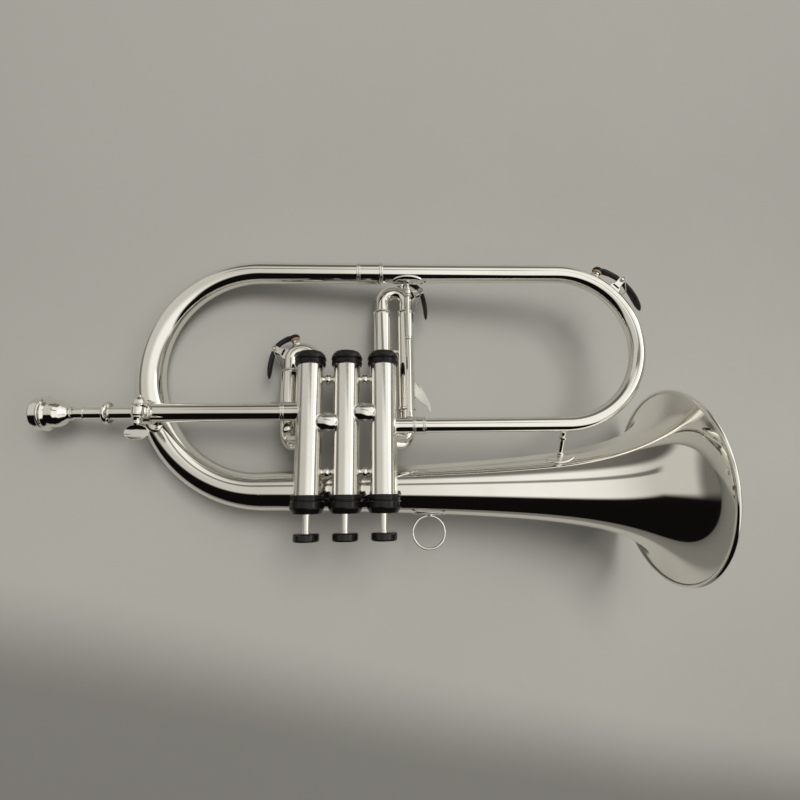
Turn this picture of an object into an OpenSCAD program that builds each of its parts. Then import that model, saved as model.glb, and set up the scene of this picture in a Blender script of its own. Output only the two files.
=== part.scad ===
// Flugelhorn in B flat, lying on its side with the player's left-hand side up.
// Origin: centre of the bell's mouth, on the flat front of the rim.
// +X points out of the bell, +Y towards the main bow, away from the finger buttons,
// and +Z towards the player's left-hand side. All lengths are millimetres.

/* [Layout] */
// middle valve axis to the front face of the bell rim, along the bell
reach = 253.5; // [251:0.5:258]
// bell axis to leadpipe axis, along the valves
drop = 55.6; // [55:0.1:58]
// bell axis to the plane through the three valve axes
set_off = 31.5; // [31.3:0.1:34]

/* [Bell] */
// outer radius of the bell at the rim
bell_r = 76; // [72:0.5:78]
// how sharply the flare opens, smaller is sharper
flare_len = 15; // [14:0.1:16]
// exponent of the flare
flare_pow = 0.53; // [0.52:0.005:0.54]
// thickness of the bell sheet
bell_wall = 0.8; // [0.6:0.05:1.1]
// radius of the bead rolled round the rim wire
bead_r = 1.6; // [1.3:0.05:2]

/* [Main tube] */
// return tube axis to leadpipe axis
return_y = 110; // [108:0.5:112]
// exit tube axis below the leadpipe axis
exit_drop = 10.8; // [10.2:0.1:11.4]
// middle of the front bow from the middle valve
front_bow_x = 162.4; // [150:0.5:170]
// middle of the rear bow behind the middle valve
rear_bow_x = 66; // [60:0.5:72]
// outer radius of the main tube at the third valve
exit_r = 5.5; // [5.3:0.05:5.7]
// outer radius of the main tube at the bow ferrule
ferrule_r = 7.65; // [7.4:0.05:7.8]
// wall of the main tube
tube_wall = 1; // [0.7:0.05:1.2]

/* [Valves] */
// distance between neighbouring valve axes
pitch = 27; // [26.8:0.1:27.4]
// outer radius of a casing
casing_r = 9.7; // [9.5:0.05:9.8]
// bore radius of a casing
casing_bore = 8.5; // [8.4:0.02:8.6]
// piston radius less than the bore
piston_gap = 0.06; // [0.02:0.01:0.09]
// travel of a finger button
stroke = 12.8; // [11:0.1:12.9]
// radius of the wind passages in the pistons
passage_r = 4.6; // [4.2:0.1:4.7]
// radius of a finger button
button_r = 9.15; // [8:0.05:9.5]

/* [Valve slides] */
// distance between the two legs of a slide
leg_gap = 18.7; // [18.4:0.1:19]
// depth of the first and third slides behind the valve plane
slide_z = 19; // [18.9:0.1:20]
// outer radius of a slide sleeve
sleeve_r = 7; // [6.9:0.05:7.05]
// radius of the sliding inner tube
inner_r = 5.7; // [5.5:0.05:5.8]
// running gap between an inner tube and its sleeve
slide_gap = 0.06; // [0.02:0.01:0.09]
// open end of the first slide's sleeves
slide_1_mouth = 37; // [35:0.5:40]
// open end of the third slide's sleeves
slide_3_mouth = 85.5; // [82:0.5:86]
// open end of the second slide's sleeves, behind the valve plane
slide_2_mouth = 27; // [26:0.5:30]

/* [Leadpipe and mouthpiece] */
// outer radius of the leadpipe sleeve
lead_r = 6.9; // [6.8:0.05:7]
// outer radius of the sliding mouthpipe
pipe_r = 4.8; // [4.6:0.05:4.9]
// rim radius of the mouthpiece
mouth_r = 12; // [11.8:0.1:13.5]

/* [Hidden] */
$fn = 96;
eps = 0.02;
silver = [0.83, 0.83, 0.82];
steel = [0.6, 0.61, 0.63];
black = [0.04, 0.04, 0.045];
cork_tan = [0.62, 0.45, 0.28];
felt_red = [0.45, 0.08, 0.08];
monel = [0.68, 0.68, 0.66];
vx = [-pitch, 0, pitch];
port_lead = 0;
port_12 = -8.6;
port_23 = -1.6;
port_exit = -exit_drop;
port_back = -6;
port_side = -21;
port_2a = -4;
port_2b = port_2a - leg_gap;
casing_lo = 41;
casing_hi = -68;
cap_far = 44.6;
cap_near = 34.5;
top_cap_near = -60;
top_cap_far = -73;
button_near = -86;
button_far = -91.6;
piston_top = -45.5;
piston_end = 12;
piston_floor = 8;
slide_cx = 36.2;
leg_in = slide_cx - leg_gap / 2;
leg_out = slide_cx + leg_gap / 2;
elbow_r = 6.2;
elbow_bore = 4.9;
side_bend = 10;
ring_y = 5;
slide_1_turn = 44;
slide_3_turn = 93;
slide_2_turn = 31;
bow_top_r = 8.4;
bow_end_r = bell_out(-rear_bow_x);
bow_tilt_r = norm([return_y + drop, set_off]) / 2;
front_bow_r = (return_y + exit_drop) / 2;
ferrule_x = [7.2, 27.4];
exit_joint = 49.5;
bow_joint = 17;
clamp_x = -144;
clamp_z = 11;
knuckle_z = 4.6;

// ---------- placing and turning helpers ----------

// valve frame: middle valve axis at the level of the leadpipe
module v() translate([-reach, drop, set_off]) children();

module xcyl(x0, x1, r, r2 = undef) translate([x0, 0, 0]) rotate([0, 90, 0])
    cylinder(h = x1 - x0, r1 = r, r2 = r2 == undef ? r : r2);

module ycyl(y0, y1, r, r2 = undef) translate([0, y0, 0]) rotate([-90, 0, 0])
    cylinder(h = y1 - y0, r1 = r, r2 = r2 == undef ? r : r2);

module zcyl(z0, z1, r, r2 = undef) translate([0, 0, z0])
    cylinder(h = z1 - z0, r1 = r, r2 = r2 == undef ? r : r2);

// round bar between two points
module rod(a, b, r, r2 = undef) {
    d = b - a;
    translate(a) rotate([0, acos(d.z / norm(d)), atan2(d.y, d.x)])
        cylinder(h = norm(d), r1 = r, r2 = r2 == undef ? r : r2);
}

// turned shape, profile points are [radius, distance along the axis]
module ylathe(profile) rotate([-90, 0, 0]) rotate_extrude() polygon(profile);
module xlathe(profile) rotate([0, 90, 0]) rotate_extrude() polygon(profile);

// ---------- computed tubes ----------

function ring_at(c, t, m, r, n) =
    [for (k = [0:n - 1]) c + r * (cos(360 * k / n) * m + sin(360 * k / n) * cross(t, m))];

// hollow tapered tube along computed stations [centre, tangent, radius]
module tapered_tube(st, m, wall, n = 36) {
    cnt = len(st);
    outer = [for (s = st) each ring_at(s[0], s[1], m, s[2], n)];
    inner = [for (s = st) each ring_at(s[0], s[1], m, s[2] - wall, n)];
    off = cnt * n;
    skin = [for (i = [0:cnt - 2], k = [0:n - 1]) let (a = i * n + k, b = i * n + (k + 1) % n)
        [a, b, b + n, a + n]];
    bore = [for (f = skin) [f[3] + off, f[2] + off, f[1] + off, f[0] + off]];
    near = [for (k = [0:n - 1]) let (b = (k + 1) % n) [b, k, k + off, b + off]];
    far = [for (f = near) [for (j = [3:-1:0]) f[j] + off - n]];
    polyhedron(concat(outer, inner), concat(skin, bore, near, far), convexity = 6);
}

// ---------- bell ----------

// outer radius of the bell tube at distance x from the middle valve
function bell_out(x) = bell_r * pow(flare_len / (flare_len + reach - 1.2 - x), flare_pow);
bell_x0 = -rear_bow_x;
bell_x1 = reach - 1.9;
bell_n = 46;
// stations crowd towards the rim, where the flare turns fastest
function bell_x(i) = bell_x0 + (bell_x1 - bell_x0) * (1 - pow(1 - i / bell_n, 1.9));

module bell_solid(extra) translate([-reach, 0, 0]) xlathe(concat(
    [[0, bell_x0]],
    [for (i = [0:bell_n]) [bell_out(bell_x(i)) + extra, bell_x(i)]],
    [[0, bell_x1]]));

module bell() color(silver) translate([-reach, 0, 0]) xlathe(concat(
    [for (i = [0:bell_n]) [bell_out(bell_x(i)), bell_x(i)]],
    [for (i = [bell_n:-1:0]) [bell_out(bell_x(i)) - bell_wall, bell_x(i)]]));

module bell_rim_bead() color(silver) difference() {
    translate([-1.2, 0, 0]) rotate([0, 90, 0]) rotate_extrude()
        translate([bell_r - bead_r, 0]) circle(r = bead_r, $fn = 48);
    xcyl(0, bead_r, bell_r + 2);
    bell_solid(eps);
}

// ---------- main tube ----------

// rear bow: tilted half circle from the return tube to the bell
bow_e2 = [0, return_y + drop, set_off] / (2 * bow_tilt_r);
bow_m = cross([1, 0, 0], bow_e2);
bow_c = [-rear_bow_x, (return_y - drop) / 2, -set_off / 2];
bow_n = 32;
function bow_stn(a) = [bow_c + bow_tilt_r * (cos(a) * bow_e2 - sin(a) * [1, 0, 0]),
    -cos(a) * [1, 0, 0] - sin(a) * bow_e2,
    bow_top_r + (bow_end_r - bow_top_r) * (0.24 * a / 180 + 0.76 * pow(a / 180, 2))];
function bow_lead(x) = [[x, return_y, 0], [-1, 0, 0],
    ferrule_r + (bow_top_r - ferrule_r) * (bow_joint - x) / (bow_joint + rear_bow_x)];

module rear_bow() color(silver) v() tapered_tube(concat(
    [for (x = [bow_joint, -25]) bow_lead(x)],
    [for (i = [0:bow_n]) bow_stn(180 * i / bow_n)]), bow_m, tube_wall, 40);

// front branch: exit tube, front bow and return tube in one piece
branch_len = 2 * front_bow_x - exit_joint - bow_joint + PI * front_bow_r;
function branch_r(s) = exit_r + (ferrule_r - exit_r) * pow(s / branch_len, 1.6);
front_n = 26;
front_s = front_bow_x - exit_joint;

module front_branch() color(silver) v() tapered_tube(concat(
    [for (x = [exit_joint, 105]) [[x, port_exit, 0], [1, 0, 0], branch_r(x - exit_joint)]],
    [for (i = [0:front_n]) let (a = 180 * i / front_n)
        [[front_bow_x + front_bow_r * sin(a), port_exit + front_bow_r * (1 - cos(a)), 0],
         [cos(a), sin(a), 0], branch_r(front_s + PI * front_bow_r * i / front_n)]],
    [for (x = [125, 85, 45, bow_joint + eps]) [[x, return_y, 0], [-1, 0, 0],
        branch_r(front_s + PI * front_bow_r + front_bow_x - x)]]), [0, 0, 1], tube_wall, 36);

module beaded_sleeve(x0, x1, bore, body, bead, w) difference() {
    union() {
        xcyl(x0, x1, body);
        for (x = [x0, x0 + 1.6 * w, x1 - 2.6 * w, x1 - w]) xcyl(x, x + w, bead);
    }
    xcyl(x0 - 1, x1 + 1, bore);
}

module bow_ferrule() color(silver) v() translate([0, return_y, 0])
    beaded_sleeve(ferrule_x[0], ferrule_x[1], ferrule_r + 0.12, 8.35, 8.8, 1);

module exit_ferrule() color(silver) v() translate([0, port_exit, 0])
    beaded_sleeve(48.2, 57.8, exit_r + 0.16, 6.1, 6.55, 0.8);

// ---------- leadpipe, clamp and mouthpiece ----------

module leadpipe_sleeve() color(silver) v() difference() {
    xcyl(-150, -casing_r - pitch + 1, lead_r);
    xcyl(-126, -pitch, elbow_bore + 1.1);
    xcyl(-151, -125, pipe_r + 0.05);
    translate([-pitch, 0, 0]) ycyl(-20, 20, casing_r + eps);
    translate([-151, -0.6, 0]) cube([16, 1.2, 10]);
}

module leadpipe_ferrule() color(silver) v() difference() {
    union() {
        xcyl(-47.6, -44.7, 7.75);
        xcyl(-44.7, -pitch - casing_r + 1, 7.35);
    }
    xcyl(-49, -30, lead_r + eps);
    translate([-pitch, 0, 0]) ycyl(-20, 20, casing_r + eps);
}

module clamp_collar() color(silver) v() difference() {
    union() {
        xcyl(-149, -139, 8.3);
        translate([clamp_x, 0, clamp_z]) ylathe([[0, -4.9], [3.6, -4.9], [5, -3.4], [5, 1.9],
            [5.3, 2.2], [5.3, 3], [5, 3.3], [2.6, 9.4], [0, 9.4]]);
        translate([clamp_x - 3.6, -4.9, 5]) cube([7.2, 11, 5]);
    }
    xcyl(-151, -138, lead_r + eps);
    translate([clamp_x - 10, 2.1, 5]) cube([20, 0.7, 14]);
    translate([clamp_x, 0, clamp_z]) ycyl(-20, 20, 1.56);
}

module clamp_thumbscrew() color(silver) v() translate([clamp_x, 0, clamp_z]) {
    ylathe([[0, 10.9], [1.1, 10.9], [1.5, 10.4], [1.5, -4.94], [4.2, -4.94], [4.4, -5.3],
        [4.4, -5.9], [3.3, -6.3], [2.7, -8], [2.9, -9.6], [2, -10.6], [0, -10.6]]);
    translate([0, -15.9, -1.1]) scale([8.6, 5.4, 1]) cylinder(h = 2.2, r = 1);
}

module mouthpipe() color(silver) v() difference() {
    union() {
        xcyl(-187.8, -170, 4.5);
        xcyl(-170, -112, pipe_r);
        xcyl(-187.8, -186.8, 4.75);
    }
    xcyl(-189, -164.5, 3.86, 3.36);
    xcyl(-164.51, -111, 3.6);
}

module receiver_ring() color(silver) v() difference() {
    xlathe([[3, -172.6], [7.6, -172.6], [8.2, -171.9], [8.2, -170], [7.6, -169.3],
        [5.6, -168.8], [3, -168.8]]);
    xcyl(-174, -170, 4.5 + eps);
    xcyl(-170.01, -168, pipe_r + eps);
}

module mouthpiece() color(silver) v() xlathe([[8.2, -220.5], [9.4, -221.1],
    [mouth_r - 1.1, -220.9], [mouth_r, -219.8], [mouth_r, -214], [mouth_r + 0.6, -213.3],
    [mouth_r + 0.6, -212.6], [11.3, -211.9], [11.1, -211.2], [11.5, -210.8], [11.3, -210.2],
    [10.2, -208.6], [8.9, -205.8], [7, -202.4], [5.3, -199.6], [4.4, -197.6], [4.4, -197],
    [5.2, -196.6], [5.2, -195.8], [4.4, -195.4], [4.15, -194.4], [4.1, -188], [3.72, -187.95],
    [3.3, -166], [2.6, -166], [2.2, -194], [2.1, -199], [4, -205], [6.6, -211], [7.9, -217.5]]);

// ---------- valves ----------

// straight wind passage between two points on a piston's skin, run on at both ends
module passage(a, b, r) {
    d = (b - a) / norm(b - a);
    rod(a - 4 * d, b + 4 * d, r);
}

function wall_pt(ang, y) = [casing_bore * cos(ang), y, -casing_bore * sin(ang)];

// the port angles are seen along the valve: 0 bell side, 180 player side, 90 back
leg_ang = atan2(slide_z, leg_out - pitch);
ports = [
    [[180, port_lead], [0, port_12], [90, port_back], [180 - leg_ang, port_side]],
    [[180, port_12], [0, port_23], [90, port_2a], [90, port_2b]],
    [[180, port_23], [0, port_exit], [90, port_back], [leg_ang, port_side]]];

module casing(i) color(silver) v() translate([vx[i], 0, 0]) difference() {
    ycyl(casing_hi, casing_lo, casing_r);
    ycyl(casing_hi - 1, casing_lo + 1, casing_bore);
    for (p = ports[i]) translate([0, p[1], 0]) rotate([0, p[0], 0]) xcyl(4, 14, elbow_bore);
}

module piston(i) {
    s = [0, -stroke, 0];
    a = wall_pt(ports[i][0][0], ports[i][0][1]);
    b = wall_pt(ports[i][1][0], ports[i][1][1]);
    c = wall_pt(ports[i][2][0], ports[i][2][1]);
    d = wall_pt(ports[i][3][0], ports[i][3][1]);
    down = i == 1 ? [[a, d], [c, b]] : [[a, c], [d, b]];
    color(monel) v() translate([vx[i], 0, 0]) difference() {
        ycyl(piston_top, piston_end, casing_bore - piston_gap);
        ycyl(piston_floor, piston_end + 1, 6.8);
        passage(a, b, passage_r);
        for (q = down) passage(q[0] + s, q[1] + s, passage_r);
    }
}

module stem(i) color(silver) v() translate([vx[i], 0, 0]) {
    ycyl(piston_top - 22, piston_top - eps, 4.5);
    ycyl(button_near - 3, piston_top - 21, 2.55);
}

module button(i) color(black) v() translate([vx[i], 0, 0]) difference() {
    ylathe([[0, button_near], [8.5, button_near], [button_r, button_near - 0.7],
        [button_r, button_far + 0.9], [8.3, button_far], [7.4, button_far],
        [6.4, button_far + 0.5], [0, button_far + 0.9]]);
    ycyl(button_near - 3 - eps, button_near + 1, 2.55 + eps);
}

// valve spring: closed round wire coiled between the piston's floor and the bottom cap
spring_turns = 9;
spring_r = 5.5;
wire_r = 0.5;
spring_lo = piston_floor + wire_r + 0.15;
spring_hi = casing_lo - wire_r - 0.15;
wire_n = 6;
coil_n = 18 * spring_turns;

function coil_ring(i) = let (a = 360 * spring_turns * i / coil_n,
        y = spring_lo + (spring_hi - spring_lo) * i / coil_n)
    [for (k = [0:wire_n - 1]) let (b = 360 * k / wire_n, r = spring_r + wire_r * cos(b))
        [r * cos(a), y + wire_r * sin(b), r * sin(a)]];

module spring(i) color(steel) v() translate([vx[i], 0, 0]) polyhedron(
    [for (j = [0:coil_n]) each coil_ring(j)],
    concat([for (j = [0:coil_n - 1], k = [0:wire_n - 1])
        let (a = j * wire_n + k, b = j * wire_n + (k + 1) % wire_n)
        [a + wire_n, b + wire_n, b, a]],
        [[for (k = [0:wire_n - 1]) k]],
        [[for (k = [wire_n - 1:-1:0]) coil_n * wire_n + k]]), convexity = 20);

module bottom_caps() color(black) v() for (x = vx) translate([x, 0, 0]) difference() {
    ylathe([[0, cap_near], [10.9, cap_near], [11.1, cap_near + 0.4], [11.1, cap_near + 3.4],
        [10.8, cap_near + 3.8], [11.6, cap_near + 4.4], [11.6, cap_far - 4.2],
        [11.2, cap_far - 3.8], [11.2, cap_far - 2.8], [9.6, cap_far - 0.4], [9, cap_far],
        [0, cap_far]]);
    ycyl(cap_near - 1, casing_lo + eps, casing_r + eps);
    ycyl(casing_lo - 1, cap_far + 1, 2);
}

module top_caps() color(black) v() for (x = vx) translate([x, 0, 0]) difference() {
    ylathe([[0, top_cap_near], [11.4, top_cap_near], [11.6, top_cap_near - 0.4],
        [11.6, top_cap_near - 3.6], [11.3, top_cap_near - 4], [12.2, top_cap_near - 4.7],
        [12.2, top_cap_near - 8.8], [11.9, top_cap_near - 9.4], [10.1, top_cap_far + 0.5],
        [9.4, top_cap_far], [0, top_cap_far]]);
    ycyl(top_cap_far + 2.5, top_cap_near + 1, casing_r + eps);
    ycyl(top_cap_far - 1, top_cap_near, 2.9);
}

module cap_felts() color(felt_red) v() for (x = vx) translate([x, 0, 0]) difference() {
    ycyl(top_cap_far + 2.5 + eps, top_cap_far + 5.4, 8);
    ycyl(top_cap_far, top_cap_near, 2.9);
}

module knuckle(x0, x1, y) translate([0, y, 0]) difference() {
    union() {
        xcyl(x0 - 3, x1 + 3, 5.6);
        translate([(x0 + x1) / 2, 0, knuckle_z]) scale([9.4, 6.9, 6]) sphere(r = 1, $fn = 56);
    }
    xcyl(x0 - 5, x1 + 5, elbow_bore);
}

module valve_knuckles() color(silver) v() difference() {
    union() {
        knuckle(-pitch + casing_r, -casing_r, port_12);
        knuckle(casing_r, pitch - casing_r, port_23);
        translate([0, port_exit, 0]) difference() {
            xcyl(pitch + 4, 48.2 - eps, 5.75);
            xcyl(pitch, 50, elbow_bore);
        }
    }
    for (x = vx) translate([x, 0, 0]) ycyl(-30, 30, casing_r + eps);
}

module casing_braces() color(silver) v() difference() {
    for (s = [-1, 1], y = [24, -44]) translate([s * pitch / 2, y, 0]) {
        xcyl(-6, 6, 2.9);
        xlathe([[0, -2], [3.2, -1.9], [3.8, -0.9], [3.9, 0], [3.8, 0.9], [3.2, 1.9], [0, 2]]);
    }
    for (x = vx) translate([x, 0, 0]) ycyl(-60, 40, casing_r + eps);
}

// ---------- valve slides ----------

// elbow: comes down along -Y, turns through a quarter circle towards +X and runs to dist
module elbow(top, bend, dist, r) {
    ycyl(bend, top, r);
    translate([bend, bend, 0]) rotate([0, 0, 180]) rotate_extrude(angle = 90)
        translate([bend, 0]) circle(r = r);
    xcyl(bend, dist, r);
}

// one slide leg with its elbow; lx is the leg's offset from its valve, py its port height
module leg(lx, lz, py, mouth, bend) {
    dist = norm([lx, lz]);
    turn = atan2(-lz, -lx);
    translate([lx, py, -lz]) rotate([0, turn, 0]) difference() {
        union() {
            elbow(ring_y - py, bend, dist - casing_r + 3, elbow_r);
            ycyl(ring_y - py, mouth - py, sleeve_r);
            ycyl(ring_y - py - 0.9, ring_y - py + 0.9, sleeve_r + 0.45);
            ycyl(mouth - py - 1.2, mouth - py, sleeve_r + 0.3);
        }
        elbow(ring_y - py + 1, bend, dist + 2, elbow_bore);
        ycyl(ring_y - py + 0.5, mouth - py + 1, inner_r + slide_gap);
    }
}

module slide_sleeves(side, mouth) v() translate([side * pitch, 0, 0]) difference() {
    union() {
        leg(side * (leg_in - pitch), slide_z, port_back, mouth, slide_z - casing_r - 0.4);
        leg(side * (leg_out - pitch), slide_z, port_side, mouth, side_bend);
    }
    ycyl(-50, 40, casing_r + eps);
}

module slide_crook(cx, turn, back) translate([cx, turn, -slide_z]) difference() {
    union() {
        rotate_extrude(angle = 180) translate([leg_gap / 2, 0]) circle(r = inner_r);
        for (s = [-1, 1]) translate([s * leg_gap / 2, 0, 0]) ycyl(-back, 0, inner_r);
    }
    rotate_extrude(angle = 180) translate([leg_gap / 2, 0]) circle(r = inner_r - 0.9);
    for (s = [-1, 1]) translate([s * leg_gap / 2, 0, 0]) ycyl(-back - 1, 0, inner_r - 0.9);
}

module slide_1_sleeves() color(silver) slide_sleeves(-1, slide_1_mouth);
module slide_3_sleeves() color(silver) slide_sleeves(1, slide_3_mouth);

module slide_2_sleeves() color(silver) v() difference() {
    for (y = [port_2a, port_2b]) translate([0, y, 0]) {
        zcyl(-slide_2_mouth, -6, sleeve_r);
        zcyl(-slide_2_mouth, -slide_2_mouth + 1.2, sleeve_r + 0.3);
    }
    for (y = [port_2a, port_2b]) translate([0, y, 0]) {
        zcyl(-slide_2_mouth - 1, -10, inner_r + slide_gap);
        zcyl(-12, 0, elbow_bore);
    }
    ycyl(-50, 40, casing_r + eps);
}

module key_hole(c, ang, dist) translate(c) rotate([0, 0, ang]) ycyl(dist - 4, dist + 4, 1.1);

module slide_1_crook() color(silver) v() difference() {
    slide_crook(-slide_cx, slide_1_turn, 38.4);
    key_hole([-slide_cx, slide_1_turn, -slide_z], 20, leg_gap / 2 + inner_r);
}

module slide_3_crook() color(silver) v() difference() {
    slide_crook(slide_cx, slide_3_turn, 52);
    key_hole([slide_cx, slide_3_turn, -slide_z], -20, leg_gap / 2 + inner_r);
}

module slide_2_crook() color(silver) v() translate([0, (port_2a + port_2b) / 2, -slide_2_turn])
    rotate([0, -90, 0]) rotate([0, 0, -90]) difference() {
        union() {
            rotate([0, 0, 180]) rotate_extrude(angle = 180) translate([leg_gap / 2, 0])
                circle(r = inner_r);
            for (s = [-1, 1]) translate([s * leg_gap / 2, 0, 0])
                ycyl(0, slide_2_turn - 12.2, inner_r);
        }
        rotate([0, 0, 180]) rotate_extrude(angle = 180) translate([leg_gap / 2, 0])
            circle(r = inner_r - 0.9);
        for (s = [-1, 1]) translate([s * leg_gap / 2, 0, 0]) ycyl(0, 40, inner_r - 0.9);
    }

module slide_3_brace() color(silver) v() difference() {
    translate([0, 51.5, -slide_z]) {
        xcyl(leg_in + sleeve_r - 1, leg_out - sleeve_r + 1, 2);
        xcyl(slide_cx - 0.9, slide_cx + 0.9, 2.5);
    }
    for (x = [leg_in, leg_out]) translate([x, 0, -slide_z]) ycyl(0, 80, sleeve_r + eps);
}

// ---------- stays, ring and hook ----------

module return_stay() color(silver) v() difference() {
    translate([46.6, 0, 0]) {
        ycyl(56, return_y - 4, 1.35);
        ycyl(90.5, 91.7, 2.2);
        ycyl(92.3, 95.3, 2.5);
        ycyl(95.9, 97.1, 2.2);
        ycyl(port_exit, 57, 2.2);
        ycyl(55.4, 57.6, 2.7);
        ycyl(port_exit, port_exit + 8, 3.4, 2.2);
        translate([0, return_y, 0]) intersection() {
            xcyl(-13, 13, 8.55);
            scale([13, 1, 7.6]) ycyl(-10, 0, 1);
        }
    }
    translate([0, return_y, 0]) xcyl(30, 62, ferrule_r + eps);
    translate([0, port_exit, 0]) {
        xcyl(30, 62, 5.75 + eps);
        xcyl(48.2 - eps, 60, 6.55 + eps);
    }
}

// from the exit tube down to the bell, square to both tubes
module bell_stay() {
    gap_v = [0, exit_drop - drop, -set_off];
    dir = gap_v / norm(gap_v);
    c0 = [front_bow_x - 1.4, port_exit, 0];
    color(silver) difference() {
        union() {
            v() rod(c0, c0 + 25 * dir, 1.7);
            v() rod(c0 + 4 * dir, c0 + 10 * dir, 3.1);
            v() rod(c0 + 10.6 * dir, c0 + 11.8 * dir, 2.4);
            v() rod(c0 + 22.5 * dir, c0 + 31 * dir, 2.6);
            intersection() {
                bell_solid(1.1);
                v() translate(c0) rotate([atan2(dir.z, dir.y), 0, 0]) scale([12, 1, 7.5])
                    ycyl(20, 36, 1);
            }
        }
        bell_solid(eps);
        v() translate([0, port_exit, 0]) xcyl(140, 170, 6.05);
    }
}

module leadpipe_stay() color(silver) v() difference() {
    union() {
        translate([-142.5, 1, 0]) zcyl(-14, -4, 3.6);
        translate([-147, 1, 0]) scale([8.4, 12.6, 1]) zcyl(-15, -8.6, 1);
    }
    xcyl(-160, -130, 8.3 + eps);
    translate([0, 1, 0]) rear_bow_gauge(0.06);
    difference() {
        translate([-147, 1, 0]) scale([8.5, 12.7, 1]) zcyl(-16, -8, 1);
        translate([0, 1, 0]) rear_bow_gauge(1.1);
        translate([-142.5, 1, 0]) zcyl(-16, -2, 3.6);
    }
}

// stand-in for the rear bow's skin where the leadpipe crosses it
module rear_bow_gauge(extra) {
    s = bow_stn(108.4);
    rod([s[0].x, 0, s[0].z] - 22 * s[1], [s[0].x, 0, s[0].z] + 22 * s[1], s[2] + 0.75 + extra);
}

module valve_bell_stays() color(silver) difference() {
    v() for (x = [-pitch, pitch]) {
        d = [0, -44 + drop, set_off] / norm([0, -44 + drop, set_off]);
        rod([x, -44, 0], [x, -44, 0] - 22 * d, 2.4);
        rod([x, -44, 0] - 8 * d, [x, -44, 0] - 12 * d, 4, 2.6);
    }
    bell_solid(eps);
    v() for (x = vx) translate([x, 0, 0]) ycyl(-60, 40, casing_r + eps);
}

ring_x = 61.2;
ring_r = 12.2;
ring_wire = 0.95;

module finger_ring() color(silver) difference() {
    v() translate([ring_x, -drop - bell_out(ring_x) - ring_r - 1.6, -set_off]) {
        rotate_extrude() translate([ring_r, 0]) circle(r = ring_wire, $fn = 32);
        ycyl(ring_r + 0.4, ring_r + 4, 1.9, 3.4);
        translate([0, ring_r + 0.8, 0]) scale([13, 1, 7]) ycyl(0, 8, 1);
    }
    bell_solid(eps);
    difference() {
        v() translate([ring_x, -drop - bell_out(ring_x), -set_off]) scale([13.5, 1, 7.5])
            ycyl(-0.3, 12, 1);
        bell_solid(0.9);
    }
}

module finger_hook() color(silver) v() difference() {
    translate([0, 0, -slide_z + 3]) linear_extrude(height = 1.2) polygon(concat(
        [[50.6, 25.6], [52.6, 26.6]],
        [for (i = [0:12]) let (t = i / 12) [53.4 + 10 * t, 25.6 - 9 * t - 15.4 * pow(t, 2.2)]],
        [for (i = [12:-1:0]) let (t = i / 12) [52.2 + 11 * t, 12.6 - 8 * t - 3.6 * pow(t, 2)]],
        [[50.6, 14]]));
    translate([leg_out, 0, -slide_z]) ycyl(0, 40, sleeve_r + eps);
}

// ---------- water keys ----------

// Each key is drawn in its own frame: origin on the tube's outer skin below the pivot,
// +Y away from the tube, cork on the -X side, finger end on the +X side.
// A key is [centre, bend radius to the skin, pivot angle, cork turn, pivot height, mirrored].
key_1 = [[-slide_cx, slide_1_turn, -slide_z], leg_gap / 2 + inner_r, 66, 46, 9, true];
key_3 = [[slide_cx, slide_3_turn, -slide_z], leg_gap / 2 + inner_r, 66, 46, 9, false];
key_f = [[front_bow_x, port_exit + front_bow_r, 0], front_bow_r + 6.5, 45, 15, 9.6, false];

module key_place(k) v() translate(k[0]) mirror([k[5] ? 1 : 0, 0, 0]) rotate([0, 0, -k[2]])
    translate([0, k[1], 0]) children();

// turns the key's frame so that +Y points out along the drain nipple
module at_nipple(k) translate([0, -k[1], 0]) rotate([0, 0, k[3]]) translate([0, k[1], 0])
    children();

module key_tube(k, r, extra) translate([0, -k[1], 0]) rotate_extrude()
    translate([k[1] - r, 0]) circle(r = r + extra);

module key_saddle(k, r) key_place(k) {
    difference() {
        union() {
            translate([-3.6, -2.5, -3.1]) cube([7.2, 5.3, 6.2]);
            for (z = [-3.1, 1.9]) translate([0, 0, z]) {
                translate([-2.6, 0, 0]) cube([5.2, k[4], 1.2]);
                translate([0, k[4], 0]) zcyl(0, 1.2, 2.6);
            }
        }
        key_tube(k, r, eps);
        translate([-6, 2.8, -1.9]) cube([12, 12, 3.8]);
    }
    translate([0, k[4], 0]) {
        zcyl(-3.7, 3.7, 1);
        zcyl(3.05, 3.8, 1.9);
    }
    difference() {
        at_nipple(k) ycyl(-2, 3, 3.6, 2.9);
        at_nipple(k) ycyl(-4, 5, 1.1);
        key_tube(k, r, eps);
    }
}

// the cork's middle as seen from the pivot frame
function cork_x(k) = -sin(k[3]) * (k[1] + 3);
function cork_y(k) = cos(k[3]) * (k[1] + 3) - k[1];

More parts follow.
